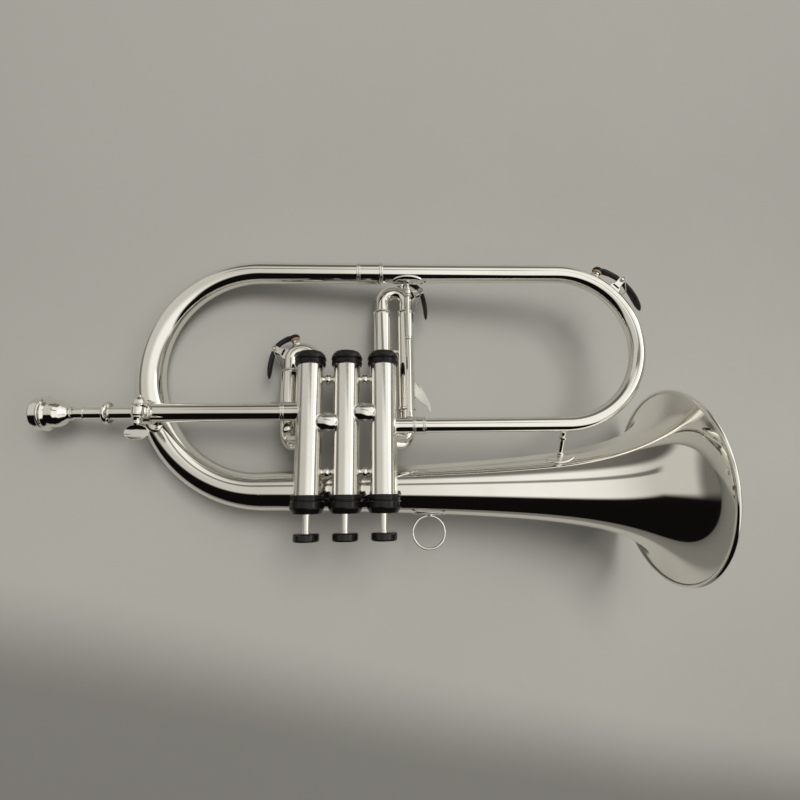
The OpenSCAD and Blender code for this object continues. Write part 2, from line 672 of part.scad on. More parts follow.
// side line of the lever: over the pivot, out to the cup and down to the finger end
module key_lever(k, tail_x, tail_y) key_place(k) difference() {
    cup = [-sin(k[3]) * (k[1] + 6.6), cos(k[3]) * (k[1] + 6.6) - k[1]];
    peak = k[4] + 1.4;
    union() {
        intersection() {
            translate([0, 0, -4]) linear_extrude(height = 8) polygon(concat(
                [for (i = [0:14]) let (t = i / 14)
                    [cup.x * (1 - t), cup.y + (peak - cup.y) * (1 - pow(1 - t, 2)) + 1]],
                [for (i = [1:14]) let (t = i / 14)
                    [tail_x * t, peak + 1 + (tail_y - peak) * pow(t, 1.7)]],
                [for (i = [14:-1:1]) let (t = i / 14)
                    [tail_x * t - 0.8 * t, peak - 1.4 + (tail_y - peak) * pow(t, 1.7)]],
                [for (i = [14:-1:0]) let (t = i / 14)
                    [cup.x * (1 - t), cup.y + (peak - cup.y) * (1 - pow(1 - t, 2)) - 1.2]]));
            union() {
                translate([-40, -30, -1.7]) cube([80, 60, 3.4]);
                translate([tail_x * 0.62, 0, 0]) scale([tail_x * 0.4, 1, 3.6]) ycyl(-30, 30, 1);
                translate([cup.x + 1, 0, 0]) scale([6, 1, 3.6]) ycyl(-30, 30, 1);
            }
        }
        translate([0, k[4], 0]) zcyl(-1.7, 1.7, 2.5);
        at_nipple(k) ycyl(5, 7.4, 4.1, 3.6);
    }
    translate([0, k[4], 0]) zcyl(-6, 6, 1.06);
}

module key_cork(k) key_place(k) at_nipple(k) ycyl(3 + eps, 5 - eps, 3.5);

// wire spring: a turn round the pivot pin and a leg with a hook on the finger side
module key_spring(k, lx, ly) key_place(k) {
    for (s = [-1, 1]) translate([0, k[4], s * 4.5]) rotate_extrude()
        translate([1.55, 0]) circle(r = 0.35, $fn = 16);
    for (s = [-1, 1]) rod([1.55, k[4], s * 4.5], [lx, ly, s * 4.5], 0.3);
    rod([lx, ly, -4.95], [lx, ly, 4.95], 0.4);
}

module water_key_1_saddle() color(silver) key_saddle(key_1, inner_r);
module water_key_3_saddle() color(silver) key_saddle(key_3, inner_r);
module front_key_saddle() color(silver) key_saddle(key_f, 6.5);
module water_key_1_lever() color(black) key_lever(key_1, 23.4, 2.8);
module water_key_3_lever() color(black) key_lever(key_3, 23.4, 2.8);
module front_key_lever() color(black) key_lever(key_f, 26.6, 0.9);
module water_key_1_cork() color(cork_tan) key_cork(key_1);
module water_key_3_cork() color(cork_tan) key_cork(key_3);
module front_key_cork() color(cork_tan) key_cork(key_f);
module water_key_1_spring() color(steel) key_spring(key_1, 10, -1.2);
module water_key_3_spring() color(steel) key_spring(key_3, 10, -1.2);
module front_key_spring() color(steel) key_spring(key_f, 8, 1.6);

// ---------- nodes ----------

bell();
bell_rim_bead();
rear_bow();
bow_ferrule();
front_branch();
exit_ferrule();
leadpipe_sleeve();
leadpipe_ferrule();
clamp_collar();
clamp_thumbscrew();
mouthpipe();
receiver_ring();
mouthpiece();
casing(0);  // casing_1
casing(1);  // casing_2
casing(2);  // casing_3
piston(0);  // piston_1
piston(1);  // piston_2
piston(2);  // piston_3
stem(0);  // stem_1
stem(1);  // stem_2
stem(2);  // stem_3
button(0);  // button_1
button(1);  // button_2
button(2);  // button_3
spring(0);  // spring_1
spring(1);  // spring_2
spring(2);  // spring_3
bottom_caps();
top_caps();
cap_felts();
valve_knuckles();
casing_braces();
slide_1_sleeves();
slide_1_crook();
slide_2_sleeves();
slide_2_crook();
slide_3_sleeves();
slide_3_crook();
slide_3_brace();
return_stay();
bell_stay();
leadpipe_stay();
valve_bell_stays();
finger_ring();
finger_hook();
water_key_1_saddle();
water_key_1_lever();
water_key_1_cork();
water_key_1_spring();
water_key_3_saddle();
water_key_3_lever();
water_key_3_cork();
water_key_3_spring();
front_key_saddle();
front_key_lever();
front_key_cork();
front_key_spring();
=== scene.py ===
"""Looks of a silver flugelhorn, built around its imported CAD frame.

Lengths below are millimetres in the valve frame: its origin is the middle valve's axis at the
height of the leadpipe, +X runs to the bell, +Y away from the finger buttons and +Z to the
player's left. Every piece is placed from the boxes of the CAD nodes it stands for.
"""

import math

import bmesh
import bpy
import numpy as np
from mathutils import Matrix, Vector


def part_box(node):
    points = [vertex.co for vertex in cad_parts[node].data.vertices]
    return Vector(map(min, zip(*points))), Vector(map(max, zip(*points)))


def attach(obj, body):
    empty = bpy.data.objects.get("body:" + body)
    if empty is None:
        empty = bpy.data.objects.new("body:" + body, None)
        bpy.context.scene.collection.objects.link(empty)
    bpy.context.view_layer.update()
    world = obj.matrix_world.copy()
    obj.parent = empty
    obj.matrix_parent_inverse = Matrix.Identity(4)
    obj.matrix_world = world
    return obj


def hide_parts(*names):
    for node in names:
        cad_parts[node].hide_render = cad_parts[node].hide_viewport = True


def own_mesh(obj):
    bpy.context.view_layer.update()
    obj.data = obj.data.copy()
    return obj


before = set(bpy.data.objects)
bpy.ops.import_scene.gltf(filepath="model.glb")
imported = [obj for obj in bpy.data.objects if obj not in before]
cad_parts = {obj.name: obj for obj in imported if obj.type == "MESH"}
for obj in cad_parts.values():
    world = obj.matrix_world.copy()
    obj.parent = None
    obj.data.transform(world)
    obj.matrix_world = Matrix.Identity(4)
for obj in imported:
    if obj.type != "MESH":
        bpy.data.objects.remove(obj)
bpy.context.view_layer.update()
MM = 0.001


# ---------- where things are ----------

def row_box(node):
    lo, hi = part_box(node)
    return np.array(lo) / MM, np.array(hi) / MM


def middle(node):
    lo, hi = row_box(node)
    return (lo + hi) / 2


ORIGIN = np.array([middle("casing_2")[0], middle("mouthpipe")[1], middle("casing_2")[2]])


def box(node):
    """Lowest and highest corner of a CAD node in the valve frame."""
    lo, hi = row_box(node)
    return lo - ORIGIN, hi - ORIGIN


def vec(*p):
    return np.array(p, float)


def unit(v):
    return v / np.linalg.norm(v)


X, Y, Z = vec(1, 0, 0), vec(0, 1, 0), vec(0, 0, 1)
PITCH = middle("casing_3")[0] - middle("casing_2")[0]
VALVES = [-PITCH, 0.0, PITCH]
CASING_R = (box("casing_2")[1] - box("casing_2")[0])[0] / 2
CASING_BORE = CASING_R - 1.2
CASING_TOP = box("casing_2")[0][1]
CASING_FOOT = box("casing_2")[1][1]
BELL_AXIS = (box("bell")[0] + box("bell")[1]) / 2
BELL_Y, BELL_Z = BELL_AXIS[1], BELL_AXIS[2]
BELL_START = box("bell")[0][0]
BELL_FRONT = box("bell_rim_bead")[1][0]
BELL_R = (box("bell_rim_bead")[1] - box("bell_rim_bead")[0])[1] / 2


# ---------- mesh building ----------

class Shell:
    """Vertices and faces of one piece, gathered in the valve frame in millimetres."""

    def __init__(self):
        self.verts = []
        self.faces = []

    def add(self, verts, faces):
        first = len(self.verts)
        self.verts.extend([tuple(v) for v in verts])
        self.faces.extend([tuple(i + first for i in f) for f in faces])
        return self

    def grid(self, rows, loop_rows=False, cap=True):
        """Skin over rows of rings; each ring closes on itself, and the ends are capped."""
        rows = np.asarray(rows, float)
        n, m = rows.shape[:2]
        faces = []
        for i in range(n if loop_rows else n - 1):
            a, b = i * m, ((i + 1) % n) * m
            faces.extend((a + k, a + (k + 1) % m, b + (k + 1) % m, b + k) for k in range(m))
        verts = list(rows.reshape(-1, 3))
        if cap and not loop_rows:
            for row, flip in ((0, True), (n - 1, False)):
                pole = len(verts)
                verts.append(rows[row].mean(0))
                for k in range(m):
                    a, b = row * m + k, row * m + (k + 1) % m
                    faces.append((b, a, pole) if flip else (a, b, pole))
        return self.add(verts, faces)

    def build(self, name, body, material, slot, replaces=()):
        mesh = bpy.data.meshes.new(name)
        mesh.from_pydata([tuple((ORIGIN + vec(*v)) * MM) for v in self.verts], [], self.faces)
        mesh.validate()
        bm = bmesh.new()
        bm.from_mesh(mesh)
        bmesh.ops.remove_doubles(bm, verts=bm.verts, dist=1e-7)
        bmesh.ops.recalc_face_normals(bm, faces=bm.faces)
        for f in bm.faces:
            f.smooth = True
        bm.to_mesh(mesh)
        bm.free()
        mesh.materials.append(material)
        obj = bpy.data.objects.new(name, mesh)
        bpy.context.scene.collection.objects.link(obj)
        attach(obj, body)
        if replaces:
            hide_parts(*replaces)
        return obj


def frame_of(axis, ref=None):
    axis = unit(axis)
    if ref is None:
        ref = Z if abs(axis[2]) < 0.9 else X
    side = unit(ref - axis * np.dot(ref, axis))
    return axis, side, np.cross(axis, side)


def circle(n):
    a = np.arange(n) * 2 * math.pi / n
    return np.cos(a), np.sin(a)


def rounded(points, step=14.0, support=0.3):
    """Polygon of [radius, along, fillet] with its corners turned into arcs."""
    out = []
    last = len(points) - 1
    for i, p in enumerate(points):
        at = np.array(p[:2], float)
        fillet = p[2] if len(p) > 2 else 0
        if not fillet or i in (0, last):
            out.append(at)
            continue
        a, b = np.array(points[i - 1][:2], float), np.array(points[i + 1][:2], float)
        ua, ub = a - at, b - at
        la, lb = np.linalg.norm(ua), np.linalg.norm(ub)
        ua, ub = ua / la, ub / lb
        turn = math.pi - math.acos(max(-1, min(1, float(ua @ ub))))
        if turn < 0.02:
            out.append(at)
            continue
        reach = min(fillet * math.tan(turn / 2), 0.46 * la, 0.46 * lb)
        radius = reach / math.tan(turn / 2)
        centre = at + unit(ua + ub) * radius / math.cos(turn / 2)
        p0, p1 = at + ua * reach, at + ub * reach
        count = max(2, int(math.ceil(math.degrees(turn) / step)))
        extra = min(support, 0.2 * (min(la, lb) - reach))
        out.append(p0 + ua * extra)
        a0 = math.atan2(*(p0 - centre)[::-1])
        a1 = math.atan2(*(p1 - centre)[::-1])
        sweep = (a1 - a0 + math.pi) % (2 * math.pi) - math.pi
        for k in range(count + 1):
            g = a0 + sweep * k / count
            out.append(centre + radius * np.array([math.cos(g), math.sin(g)]))
        out.append(p1 + ub * extra)
    return out


def lathe(profile, at, axis, seg=96, loop=False, ref=None, shell=None, bend=None):
    """Turns a profile of [radius, along, fillet]. A loop is a ring; otherwise both ends close."""
    shell = shell or Shell()
    points = close_loop(profile) if loop else rounded(profile)
    axis, side, up = frame_of(axis, ref)
    c, s = circle(seg)
    rows = []
    for r, a in points:
        ring = at + axis * a + r * (c[:, None] * side + s[:, None] * up)
        rows.append(ring if bend is None else bend(ring))
    return shell.grid(rows, loop_rows=loop)


def close_loop(profile):
    """Rounded corners for a closed profile, first corner included."""
    return rounded([profile[-1]] + list(profile) + [profile[0]])[1:-1]


def ring_row(centre, tangent, ref, r, seg):
    t, side, up = frame_of(tangent, ref)
    c, s = circle(seg)
    return centre + r * (c[:, None] * side + s[:, None] * up)


def tube(stations, ref, wall=None, seg=64, shell=None, flat_end=False):
    """Skin along [centre, tangent, radius]. With a wall it is hollow and its lips are round."""
    shell = shell or Shell()
    if flat_end:
        c, t, r = stations[-1]
        stations = stations[:-1] + [(c - unit(t) * 0.05, t, r), (c - unit(t) * 0.01, t, r),
                                    stations[-1]]
    outer = [ring_row(c, t, ref, r, seg) for c, t, r in stations]
    if wall is None:
        return shell.grid(outer)
    inner = [ring_row(c, t, ref, r - wall, seg) for c, t, r in stations]

    def lip(station, sign):
        c, t, r = station
        rows = []
        for k in range(1, 6):
            g = math.pi * k / 6
            rows.append(ring_row(c + unit(t) * sign * wall / 2 * math.sin(g), t, ref,
                                 r - wall / 2 + wall / 2 * math.cos(g), seg))
        return rows

    end = [] if flat_end else lip(stations[-1], 1)
    rows = outer + end + inner[::-1] + lip(stations[0], -1)[::-1]
    return shell.grid(rows, loop_rows=True)


def on_cylinder(points, direction, at, axis, radius):
    """Slides points along a direction onto the near side of a cylinder."""
    axis = unit(axis)
    d = unit(direction)
    rel = points - at
    flat = rel - np.outer(rel @ axis, axis)
    df = d - axis * (d @ axis)
    a = df @ df
    b = flat @ df
    c = (flat * flat).sum(1) - radius ** 2
    root = np.sqrt(np.maximum(b * b - a * c, 0))
    return points + np.outer((-b - root) / a, d)


def seated_rows(centre, direction, ref, r, seg, host, fillet=0.8, sign=1):
    """Rings that end a tube on a cylinder, with a soldered fillet, then run into its wall."""
    at, axis, radius = host
    rows = []
    d = unit(direction)
    for k in range(7):
        g = math.pi / 2 * k / 6
        ring = ring_row(centre, d, ref, r + fillet * (1 - math.cos(g)), seg)
        on_wall = on_cylinder(ring, d * sign, at, axis, radius)
        rows.append(on_wall - d * sign * fillet * (1 - math.sin(g)))
    for reach in (r + fillet * 0.9, r * 0.5):
        ring = ring_row(centre, d, ref, reach, seg)
        rows.append(on_cylinder(ring, d * sign, at, axis, radius - 0.5))
    return rows


def path_frames(points):
    points = np.asarray(points, float)
    tangents = np.gradient(points, axis=0)
    return points, tangents / np.linalg.norm(tangents, axis=1)[:, None]


def wire(points, r, seg=16, shell=None, round_ends=True, closed=False):
    """Round wire through a list of points, carried by parallel transport."""
    shell = shell or Shell()
    pts, tan = path_frames(points)
    radii = np.full(len(pts), float(r)) if np.isscalar(r) else np.asarray(r, float)
    side = frame_of(tan[0])[1]
    c, s = circle(seg)
    rows = []
    for i, (p, t) in enumerate(zip(pts, tan)):
        side = unit(side - t * (side @ t))
        up = np.cross(t, side)
        rows.append(p + radii[i] * (c[:, None] * side + s[:, None] * up))
    if round_ends and not closed:
        for end, sign in ((0, -1), (-1, 1)):
            base = rows[end]
            caps = []
            for k in range(1, 5):
                g = math.pi / 2 * k / 4.4
                caps.append(pts[end] + (base - pts[end]) * math.cos(g)
                            + tan[end] * sign * radii[end] * math.sin(g))
            rows = caps[::-1] + rows if end == 0 else rows + caps
    return shell.grid(rows, loop_rows=closed, cap=not closed)


def bezier(points, n=24):
    """Smooth curve through points."""
    pts = np.asarray(points, float)
    full = np.vstack([2 * pts[0] - pts[1], pts, 2 * pts[-1] - pts[-2]])
    out = []
    for i in range(1, len(full) - 2):
        p0, p1, p2, p3 = full[i - 1:i + 3]
        for k in range(n):
            t = k / n
            out.append(0.5 * (2 * p1 + (p2 - p0) * t + (2 * p0 - 5 * p1 + 4 * p2 - p3) * t * t
                              + (3 * p1 - p0 - 3 * p2 + p3) * t ** 3))
    out.append(pts[-1])
    return np.array(out)


def saddle(host, half_len, half_wide, thick, post_r=0.0, flare=1.6, seg=64, shell=None,
           rings=14):
    """Oval foot lying on a host surface; host(s, t) gives a point and its normal."""
    shell = shell or Shell()
    c, s = circle(seg)
    top, low = [], []
    for i in range(1, rings + 1):
        f = (i / rings) ** 0.8
        edge = max(0.0, (f - 0.8) / 0.2)
        height = thick * math.sqrt(max(0.0, 1 - edge ** 2))
        row_t, row_l = [], []
        for k in range(seg):
            u, w = half_len * f * c[k], half_wide * f * s[k]
            p, n = host(u, w)
            dist = math.hypot(u, w)
            rise = 0.0
            if post_r:
                q = max(0.0, 1 - max(0.0, dist - post_r * 0.6) / flare)
                rise = flare * 0.8 * q ** 2.4
            row_t.append(p + n * (height + rise))
            row_l.append(p - n * 0.25)
        top.append(row_t)
        low.append(row_l)
    rows = top + low[::-1]
    return shell.grid(rows)


def straight_host(at, axis, out, radius):
    """Surface of a round tube round the line at + axis; radius may depend on the distance."""
    axis, out = unit(axis), unit(out)
    around = np.cross(axis, out)

    def host(s, t):
        r = radius(s) if callable(radius) else radius
        a = t / r
        n = math.cos(a) * out + math.sin(a) * around
        return at + axis * s + n * r, n
    return host


# ---------- materials ----------

def new_material(name):
    m = bpy.data.materials.new(name)
    m.use_nodes = True
    nt = m.node_tree
    nt.nodes.clear()
    out = nt.nodes.new("ShaderNodeOutputMaterial")
    bsdf = nt.nodes.new("ShaderNodeBsdfPrincipled")
    nt.links.new(bsdf.outputs[0], out.inputs[0])
    return m, nt, bsdf


def noise(nt, scale, detail=4.0, stretch=None, rough=0.55):
    coord = nt.nodes.new("ShaderNodeTexCoord")
    source = coord.outputs["Object"]
    if stretch is not None:
        mapping = nt.nodes.new("ShaderNodeMapping")
        mapping.inputs["Scale"].default_value = stretch
        nt.links.new(source, mapping.inputs["Vector"])
        source = mapping.outputs[0]
    tex = nt.nodes.new("ShaderNodeTexNoise")
    tex.inputs["Scale"].default_value = scale
    tex.inputs["Detail"].default_value = detail
    tex.inputs["Roughness"].default_value = rough
    nt.links.new(source, tex.inputs["Vector"])
    return tex.outputs["Fac"]


def ramp(nt, source, stops):
    node = nt.nodes.new("ShaderNodeValToRGB")
    el = node.color_ramp.elements
    while len(el) < len(stops):
        el.new(0.5)
    for e, (pos, col) in zip(el, stops):
        e.position = pos
        e.color = tuple(col) + (1.0,) if len(col) == 3 else (col[0],) * 3 + (1.0,)
    nt.links.new(source, node.inputs["Fac"])
    return node.outputs["Color"]


def remap(nt, source, lo, hi, from_lo=0.3, from_hi=0.7):
    node = nt.nodes.new("ShaderNodeMapRange")
    node.inputs["From Min"].default_value = from_lo
    node.inputs["From Max"].default_value = from_hi
    node.inputs["To Min"].default_value = lo
    node.inputs["To Max"].default_value = hi
    nt.links.new(source, node.inputs["Value"])
    return node.outputs["Result"]


def bump(nt, bsdf, source, distance, strength=1.0):
    node = nt.nodes.new("ShaderNodeBump")
    node.inputs["Distance"].default_value = distance
    node.inputs["Strength"].default_value = strength
    nt.links.new(source, node.inputs["Height"])
    nt.links.new(node.outputs[0], bsdf.inputs["Normal"])


def metal(name, light, dark, rough_lo, rough_hi, stretch=None, grain=900.0, depth=2e-7):
    m, nt, bsdf = new_material(name)
    bsdf.inputs["Metallic"].default_value = 1.0
    cloud = noise(nt, 22.0, 3.0)
    nt.links.new(ramp(nt, cloud, [(0.32, dark), (0.62, light)]), bsdf.inputs["Base Color"])
    smear = noise(nt, 60.0, 5.0, stretch)
    nt.links.new(remap(nt, smear, rough_lo, rough_hi), bsdf.inputs["Roughness"])
    bump(nt, bsdf, noise(nt, grain, 2.0, stretch), depth)
    return m


silver = metal("silver_plate", (0.93, 0.91, 0.865), (0.885, 0.86, 0.80), 0.035, 0.085)
turned = metal("silver_plate_turned", (0.93, 0.91, 0.865), (0.885, 0.86, 0.80), 0.10, 0.19,
               (0.3, 9.0, 0.3), 1100.0, 4e-7)
monel = metal("piston_metal", (0.62, 0.61, 0.58), (0.5, 0.49, 0.47), 0.2, 0.34,
              (0.2, 6.0, 0.2), 1400.0, 1.5e-6)
steel = metal("spring_steel", (0.56, 0.55, 0.53), (0.42, 0.41, 0.4), 0.18, 0.32)


def coating(name, colour, worn, rough_lo, rough_hi, coat=0.0, depth=4e-6, grain=1500.0):
    m, nt, bsdf = new_material(name)
    tone = noise(nt, 140.0, 5.0)
    nt.links.new(ramp(nt, tone, [(0.35, colour), (0.75, worn)]), bsdf.inputs["Base Color"])
    nt.links.new(remap(nt, noise(nt, 90.0, 4.0), rough_lo, rough_hi), bsdf.inputs["Roughness"])
    bsdf.inputs["IOR"].default_value = 1.38
    bsdf.inputs["Coat Weight"].default_value = coat
    bsdf.inputs["Coat Roughness"].default_value = 0.08
    bump(nt, bsdf, noise(nt, grain, 3.0), depth)
    return m


cap_black = coating("cap_black", (0.003, 0.003, 0.003), (0.008, 0.007, 0.007), 0.11, 0.19)
button_black = coating("button_black", (0.003, 0.003, 0.003), (0.007, 0.007, 0.007),
                       0.1, 0.17, 0.2, 1e-6)
lever_black = coating("lever_black", (0.004, 0.004, 0.004), (0.012, 0.011, 0.010), 0.26, 0.4)
cork = coating("cork", (0.20, 0.135, 0.08), (0.32, 0.23, 0.15), 0.8, 0.95, 0.0, 1.2e-4, 900.0)
felt = coating("felt", (0.22, 0.02, 0.025), (0.36, 0.05, 0.05), 0.9, 1.0, 0.0, 2.5e-4, 2600.0)

SLOT = {silver: "silver_plate", turned: "silver_plate", monel: "piston_metal", steel: "spring_steel",
        cap_black: "cap_black", button_black: "button_black", lever_black: "lever_black",
        cork: "cork", felt: "felt"}


def finish_piece(shell, name, body, material, *nodes):
    return shell.build(name, body, material, SLOT[material], nodes)


# ---------- bell and rear bow ----------

FLARE_LEN, FLARE_POW, BELL_WALL = 15.0, 0.53, 0.8


def bell_r(x):
    return BELL_R * (FLARE_LEN / (FLARE_LEN + BELL_FRONT - 1.2 - x)) ** FLARE_POW


def build_bell():
    end = box("bell")[1][0]
    rows = 180
    xs = [BELL_START + (end - BELL_START) * (1 - (1 - i / rows) ** 1.9) for i in range(rows + 1)]
    xs[1:1] = [BELL_START + 0.01, BELL_START + 0.05]
    outer = [(bell_r(x), x) for x in xs]
    inner = [(bell_r(x) - BELL_WALL, x) for x in xs[::-1]]
    c, s = circle(256)
    rows = [vec(x, BELL_Y, BELL_Z) + r * (c[:, None] * Y + s[:, None] * Z)
            for r, x in outer + inner]
    finish_piece(Shell().grid(rows, loop_rows=True), "bell_flare", "horn", silver, "bell")
    # the sheet's edge rolled over a wire: round at the back, pressed flat at the front
    rim = []
    bead = 1.85
    for k in range(64):
        a = 2 * math.pi * k / 64
        x = BELL_FRONT - 1.4 + bead * math.cos(a)
        rim.append((BELL_R - bead + bead * math.sin(a), min(x, BELL_FRONT)))
    rows = [vec(x, BELL_Y, BELL_Z) + r * (c[:, None] * Y + s[:, None] * Z) for r, x in rim]
    finish_piece(Shell().grid(rows, loop_rows=True), "bell_rim", "horn", silver,
                 "bell_rim_bead")


BOW_TOP_Y = (box("bow_ferrule")[0] + box("bow_ferrule")[1])[1] / 2
BOW_TOP_R, FERRULE_R, BOW_JOINT = 8.4, 7.65, 17.0
BOW_END_R = bell_r(BELL_START)
BOW_E = unit(vec(0, BOW_TOP_Y - BELL_Y, -BELL_Z))
BOW_REF = np.cross(X, BOW_E)
BOW_R = math.hypot(BOW_TOP_Y - BELL_Y, BELL_Z) / 2
BOW_C = vec(BELL_START, (BOW_TOP_Y + BELL_Y) / 2, BELL_Z / 2)


def bow_station(a):
    """Station of the rear bow at a degrees from the return tube."""
    g = math.radians(a)
    centre = BOW_C + BOW_R * (math.cos(g) * BOW_E - math.sin(g) * X)
    tangent = -math.cos(g) * X - math.sin(g) * BOW_E
    f = a / 180
    return centre, tangent, BOW_TOP_R + (BOW_END_R - BOW_TOP_R) * (0.24 * f + 0.76 * f * f)


def build_rear_bow():
    lead = [(vec(x, BOW_TOP_Y, 0), -X, FERRULE_R + (BOW_TOP_R - FERRULE_R)
             * (BOW_JOINT - x) / (BOW_JOINT - BELL_START))
            for x in np.linspace(BOW_JOINT, BELL_START, 12)[:-1]]
    stations = lead + [bow_station(180 * i / 144) for i in range(145)]
    finish_piece(tube(stations, BOW_REF, 1.0, 80, flat_end=True), "rear_bow_tube", "horn", silver, "rear_bow")


# ---------- front branch ----------

EXIT_Y = (box("exit_ferrule")[0] + box("exit_ferrule")[1])[1] / 2
EXIT_JOINT = 49.5
EXIT_R = 5.5
FRONT_R = (BOW_TOP_Y - EXIT_Y) / 2
FRONT_X = box("front_branch")[1][0] - FRONT_R - 6.13


def build_front_branch():
    straight = FRONT_X - EXIT_JOINT
    arc = math.pi * FRONT_R
    length = straight + arc + FRONT_X - BOW_JOINT

    def radius(s):
        return EXIT_R + (FERRULE_R - EXIT_R) * (s / length) ** 1.6

    st = [(vec(x, EXIT_Y, 0), X, radius(x - EXIT_JOINT))
          for x in np.linspace(EXIT_JOINT, FRONT_X, 24)[:-1]]
    for i in range(121):
        a = math.pi * i / 120
        st.append((vec(FRONT_X + FRONT_R * math.sin(a), EXIT_Y + FRONT_R * (1 - math.cos(a)), 0),
                   vec(math.cos(a), math.sin(a), 0), radius(straight + arc * i / 120)))
    st += [(vec(x, BOW_TOP_Y, 0), -X, radius(straight + arc + FRONT_X - x))
           for x in np.linspace(FRONT_X, BOW_JOINT + 0.02, 28)[1:]]
    finish_piece(tube(st, Z, 1.0, 72), "front_branch_tube", "horn", silver, "front_branch")
    return radius


def beaded_sleeve(x0, x1, y, bore, body_r, bead, w):
    groove = body_r - 0.18
    half = [(bore, x0, 0.15), (bead - 0.1, x0, 0.45), (bead - 0.1, x0 + w, 0.45),
            (groove, x0 + w + 0.12, 0.12), (groove, x0 + 1.6 * w - 0.12, 0.12),
            (bead, x0 + 1.6 * w, 0.45), (bead, x0 + 2.6 * w, 0.45), (body_r, x0 + 2.7 * w, 0.2)]
    other = [(r, x0 + x1 - x, f) for r, x, f in half[::-1]]
    return lathe(half + other, vec(0, y, 0), X, 96, loop=True)


def build_ferrules():
    lo, hi = box("bow_ferrule")
    finish_piece(beaded_sleeve(lo[0], hi[0], BOW_TOP_Y, 7.6, 8.3, 8.8, 1.0),
                 "bow_ferrule_ring", "horn", silver, "bow_ferrule")
    lo, hi = box("exit_ferrule")
    finish_piece(beaded_sleeve(lo[0], hi[0], EXIT_Y, 5.4, 6.1, 6.55, 0.8),
                 "exit_ferrule_ring", "horn", silver, "exit_ferrule")


def slab(outline, z0, z1, bevel, place, shell=None):
    """Plate with bevelled edges: a 2-D outline between two heights, put in place by a function."""
    shell = shell or Shell()
    pts = np.asarray(outline, float)
    ahead, behind = np.roll(pts, -1, 0) - pts, pts - np.roll(pts, 1, 0)
    tang = unit_rows(unit_rows(ahead) + unit_rows(behind))
    inward = np.column_stack([-tang[:, 1], tang[:, 0]])
    area2 = np.sum(pts[:, 0] * np.roll(pts[:, 1], -1) - np.roll(pts[:, 0], -1) * pts[:, 1])
    inward *= math.copysign(1, area2)
    rows = []
    for z, sign in ((z0, 1), (z1, -1)):
        part = []
        for k in range(5):
            g = math.pi / 2 * k / 4
            inset = bevel * (1 - math.sin(g))
            part.append((pts + inward * inset, z + sign * bevel * (1 - math.cos(g))))
        part.insert(0, (pts + inward * (bevel * 1.3), z))
        part.append((pts, z + sign * bevel * 1.3))
        rows += part if sign == 1 else part[::-1]
    return shell.grid([[place(p[0], p[1], z) for p in flat] for flat, z in rows])


def unit_rows(v):
    return v / np.maximum(np.linalg.norm(v, axis=1), 1e-9)[:, None]


def ribbon(points, wide, thick, across, power=2.8, seg=32, shell=None):
    """Bar of rounded-box section along a curve; wide is along `across`, thick square to it."""
    shell = shell or Shell()
    pts, tan = path_frames(points)
    c, s = circle(seg)
    sc = np.sign(c) * np.abs(c) ** (2 / power)
    ss = np.sign(s) * np.abs(s) ** (2 / power)
    rows = []
    for p, t, w, h in zip(pts, tan, wide, thick):
        up = unit(np.cross(across, t))
        rows.append(p + sc[:, None] * across * w + ss[:, None] * up * h)
    return shell.grid(rows)


def cast(points, xs):
    """Values at xs of a smooth curve through [x, value] points."""
    pts = np.asarray(points, float)
    out = np.interp(xs, pts[:, 0], pts[:, 1])
    return out


# ---------- leadpipe, clamp, mouthpipe and mouthpiece ----------

def casing_host(i, radius=None):
    return vec(VALVES[i], 0, 0), Y, CASING_R if radius is None else radius


def build_leadpipe():
    lo, hi = box("leadpipe_sleeve")
    end = vec(VALVES[0] - CASING_R - 3, 0, 0)
    shell = Shell()
    c, s = circle(96)
    profile = rounded([(0, -60), (6, -60), (6, -126, 0.3), (4.86, -126.6, 0.2),
                       (4.86, lo[0], 0.25), (6.9, lo[0], 0.45), (6.9, end[0])])
    rows = [vec(x, 0, 0) + r * (c[:, None] * Z + s[:, None] * np.cross(X, Z))
            for r, x in profile[1:]]
    rows += seated_rows(end, X, Z, 6.9, 96, casing_host(0), 0.4)
    finish_piece(shell.grid(rows), "leadpipe_tube", "horn", silver, "leadpipe_sleeve")
    lo, hi = box("leadpipe_ferrule")
    x0 = lo[0]
    profile = rounded([(6.7, -42), (6.7, x0 + 0.2, 0.1), (7.75, x0, 0.5), (7.75, x0 + 1.25, 0.5),
                       (7.3, x0 + 1.4, 0.1), (7.3, x0 + 1.6, 0.1), (7.75, x0 + 1.7, 0.5),
                       (7.75, x0 + 2.95, 0.5), (7.35, x0 + 3.1, 0.2), (7.35, end[0])])
    rows = [vec(x, 0, 0) + r * (c[:, None] * Z + s[:, None] * np.cross(X, Z))
            for r, x in profile]
    rows += seated_rows(end, X, Z, 7.35, 96, casing_host(0), 0.9)
    finish_piece(Shell().grid(rows), "leadpipe_ring", "horn", silver, "leadpipe_ferrule")


CLAMP = vec(*(box("clamp_thumbscrew")[0] + box("clamp_thumbscrew")[1])) / 2
CLAMP_X, CLAMP_Z = CLAMP[0], CLAMP[2]


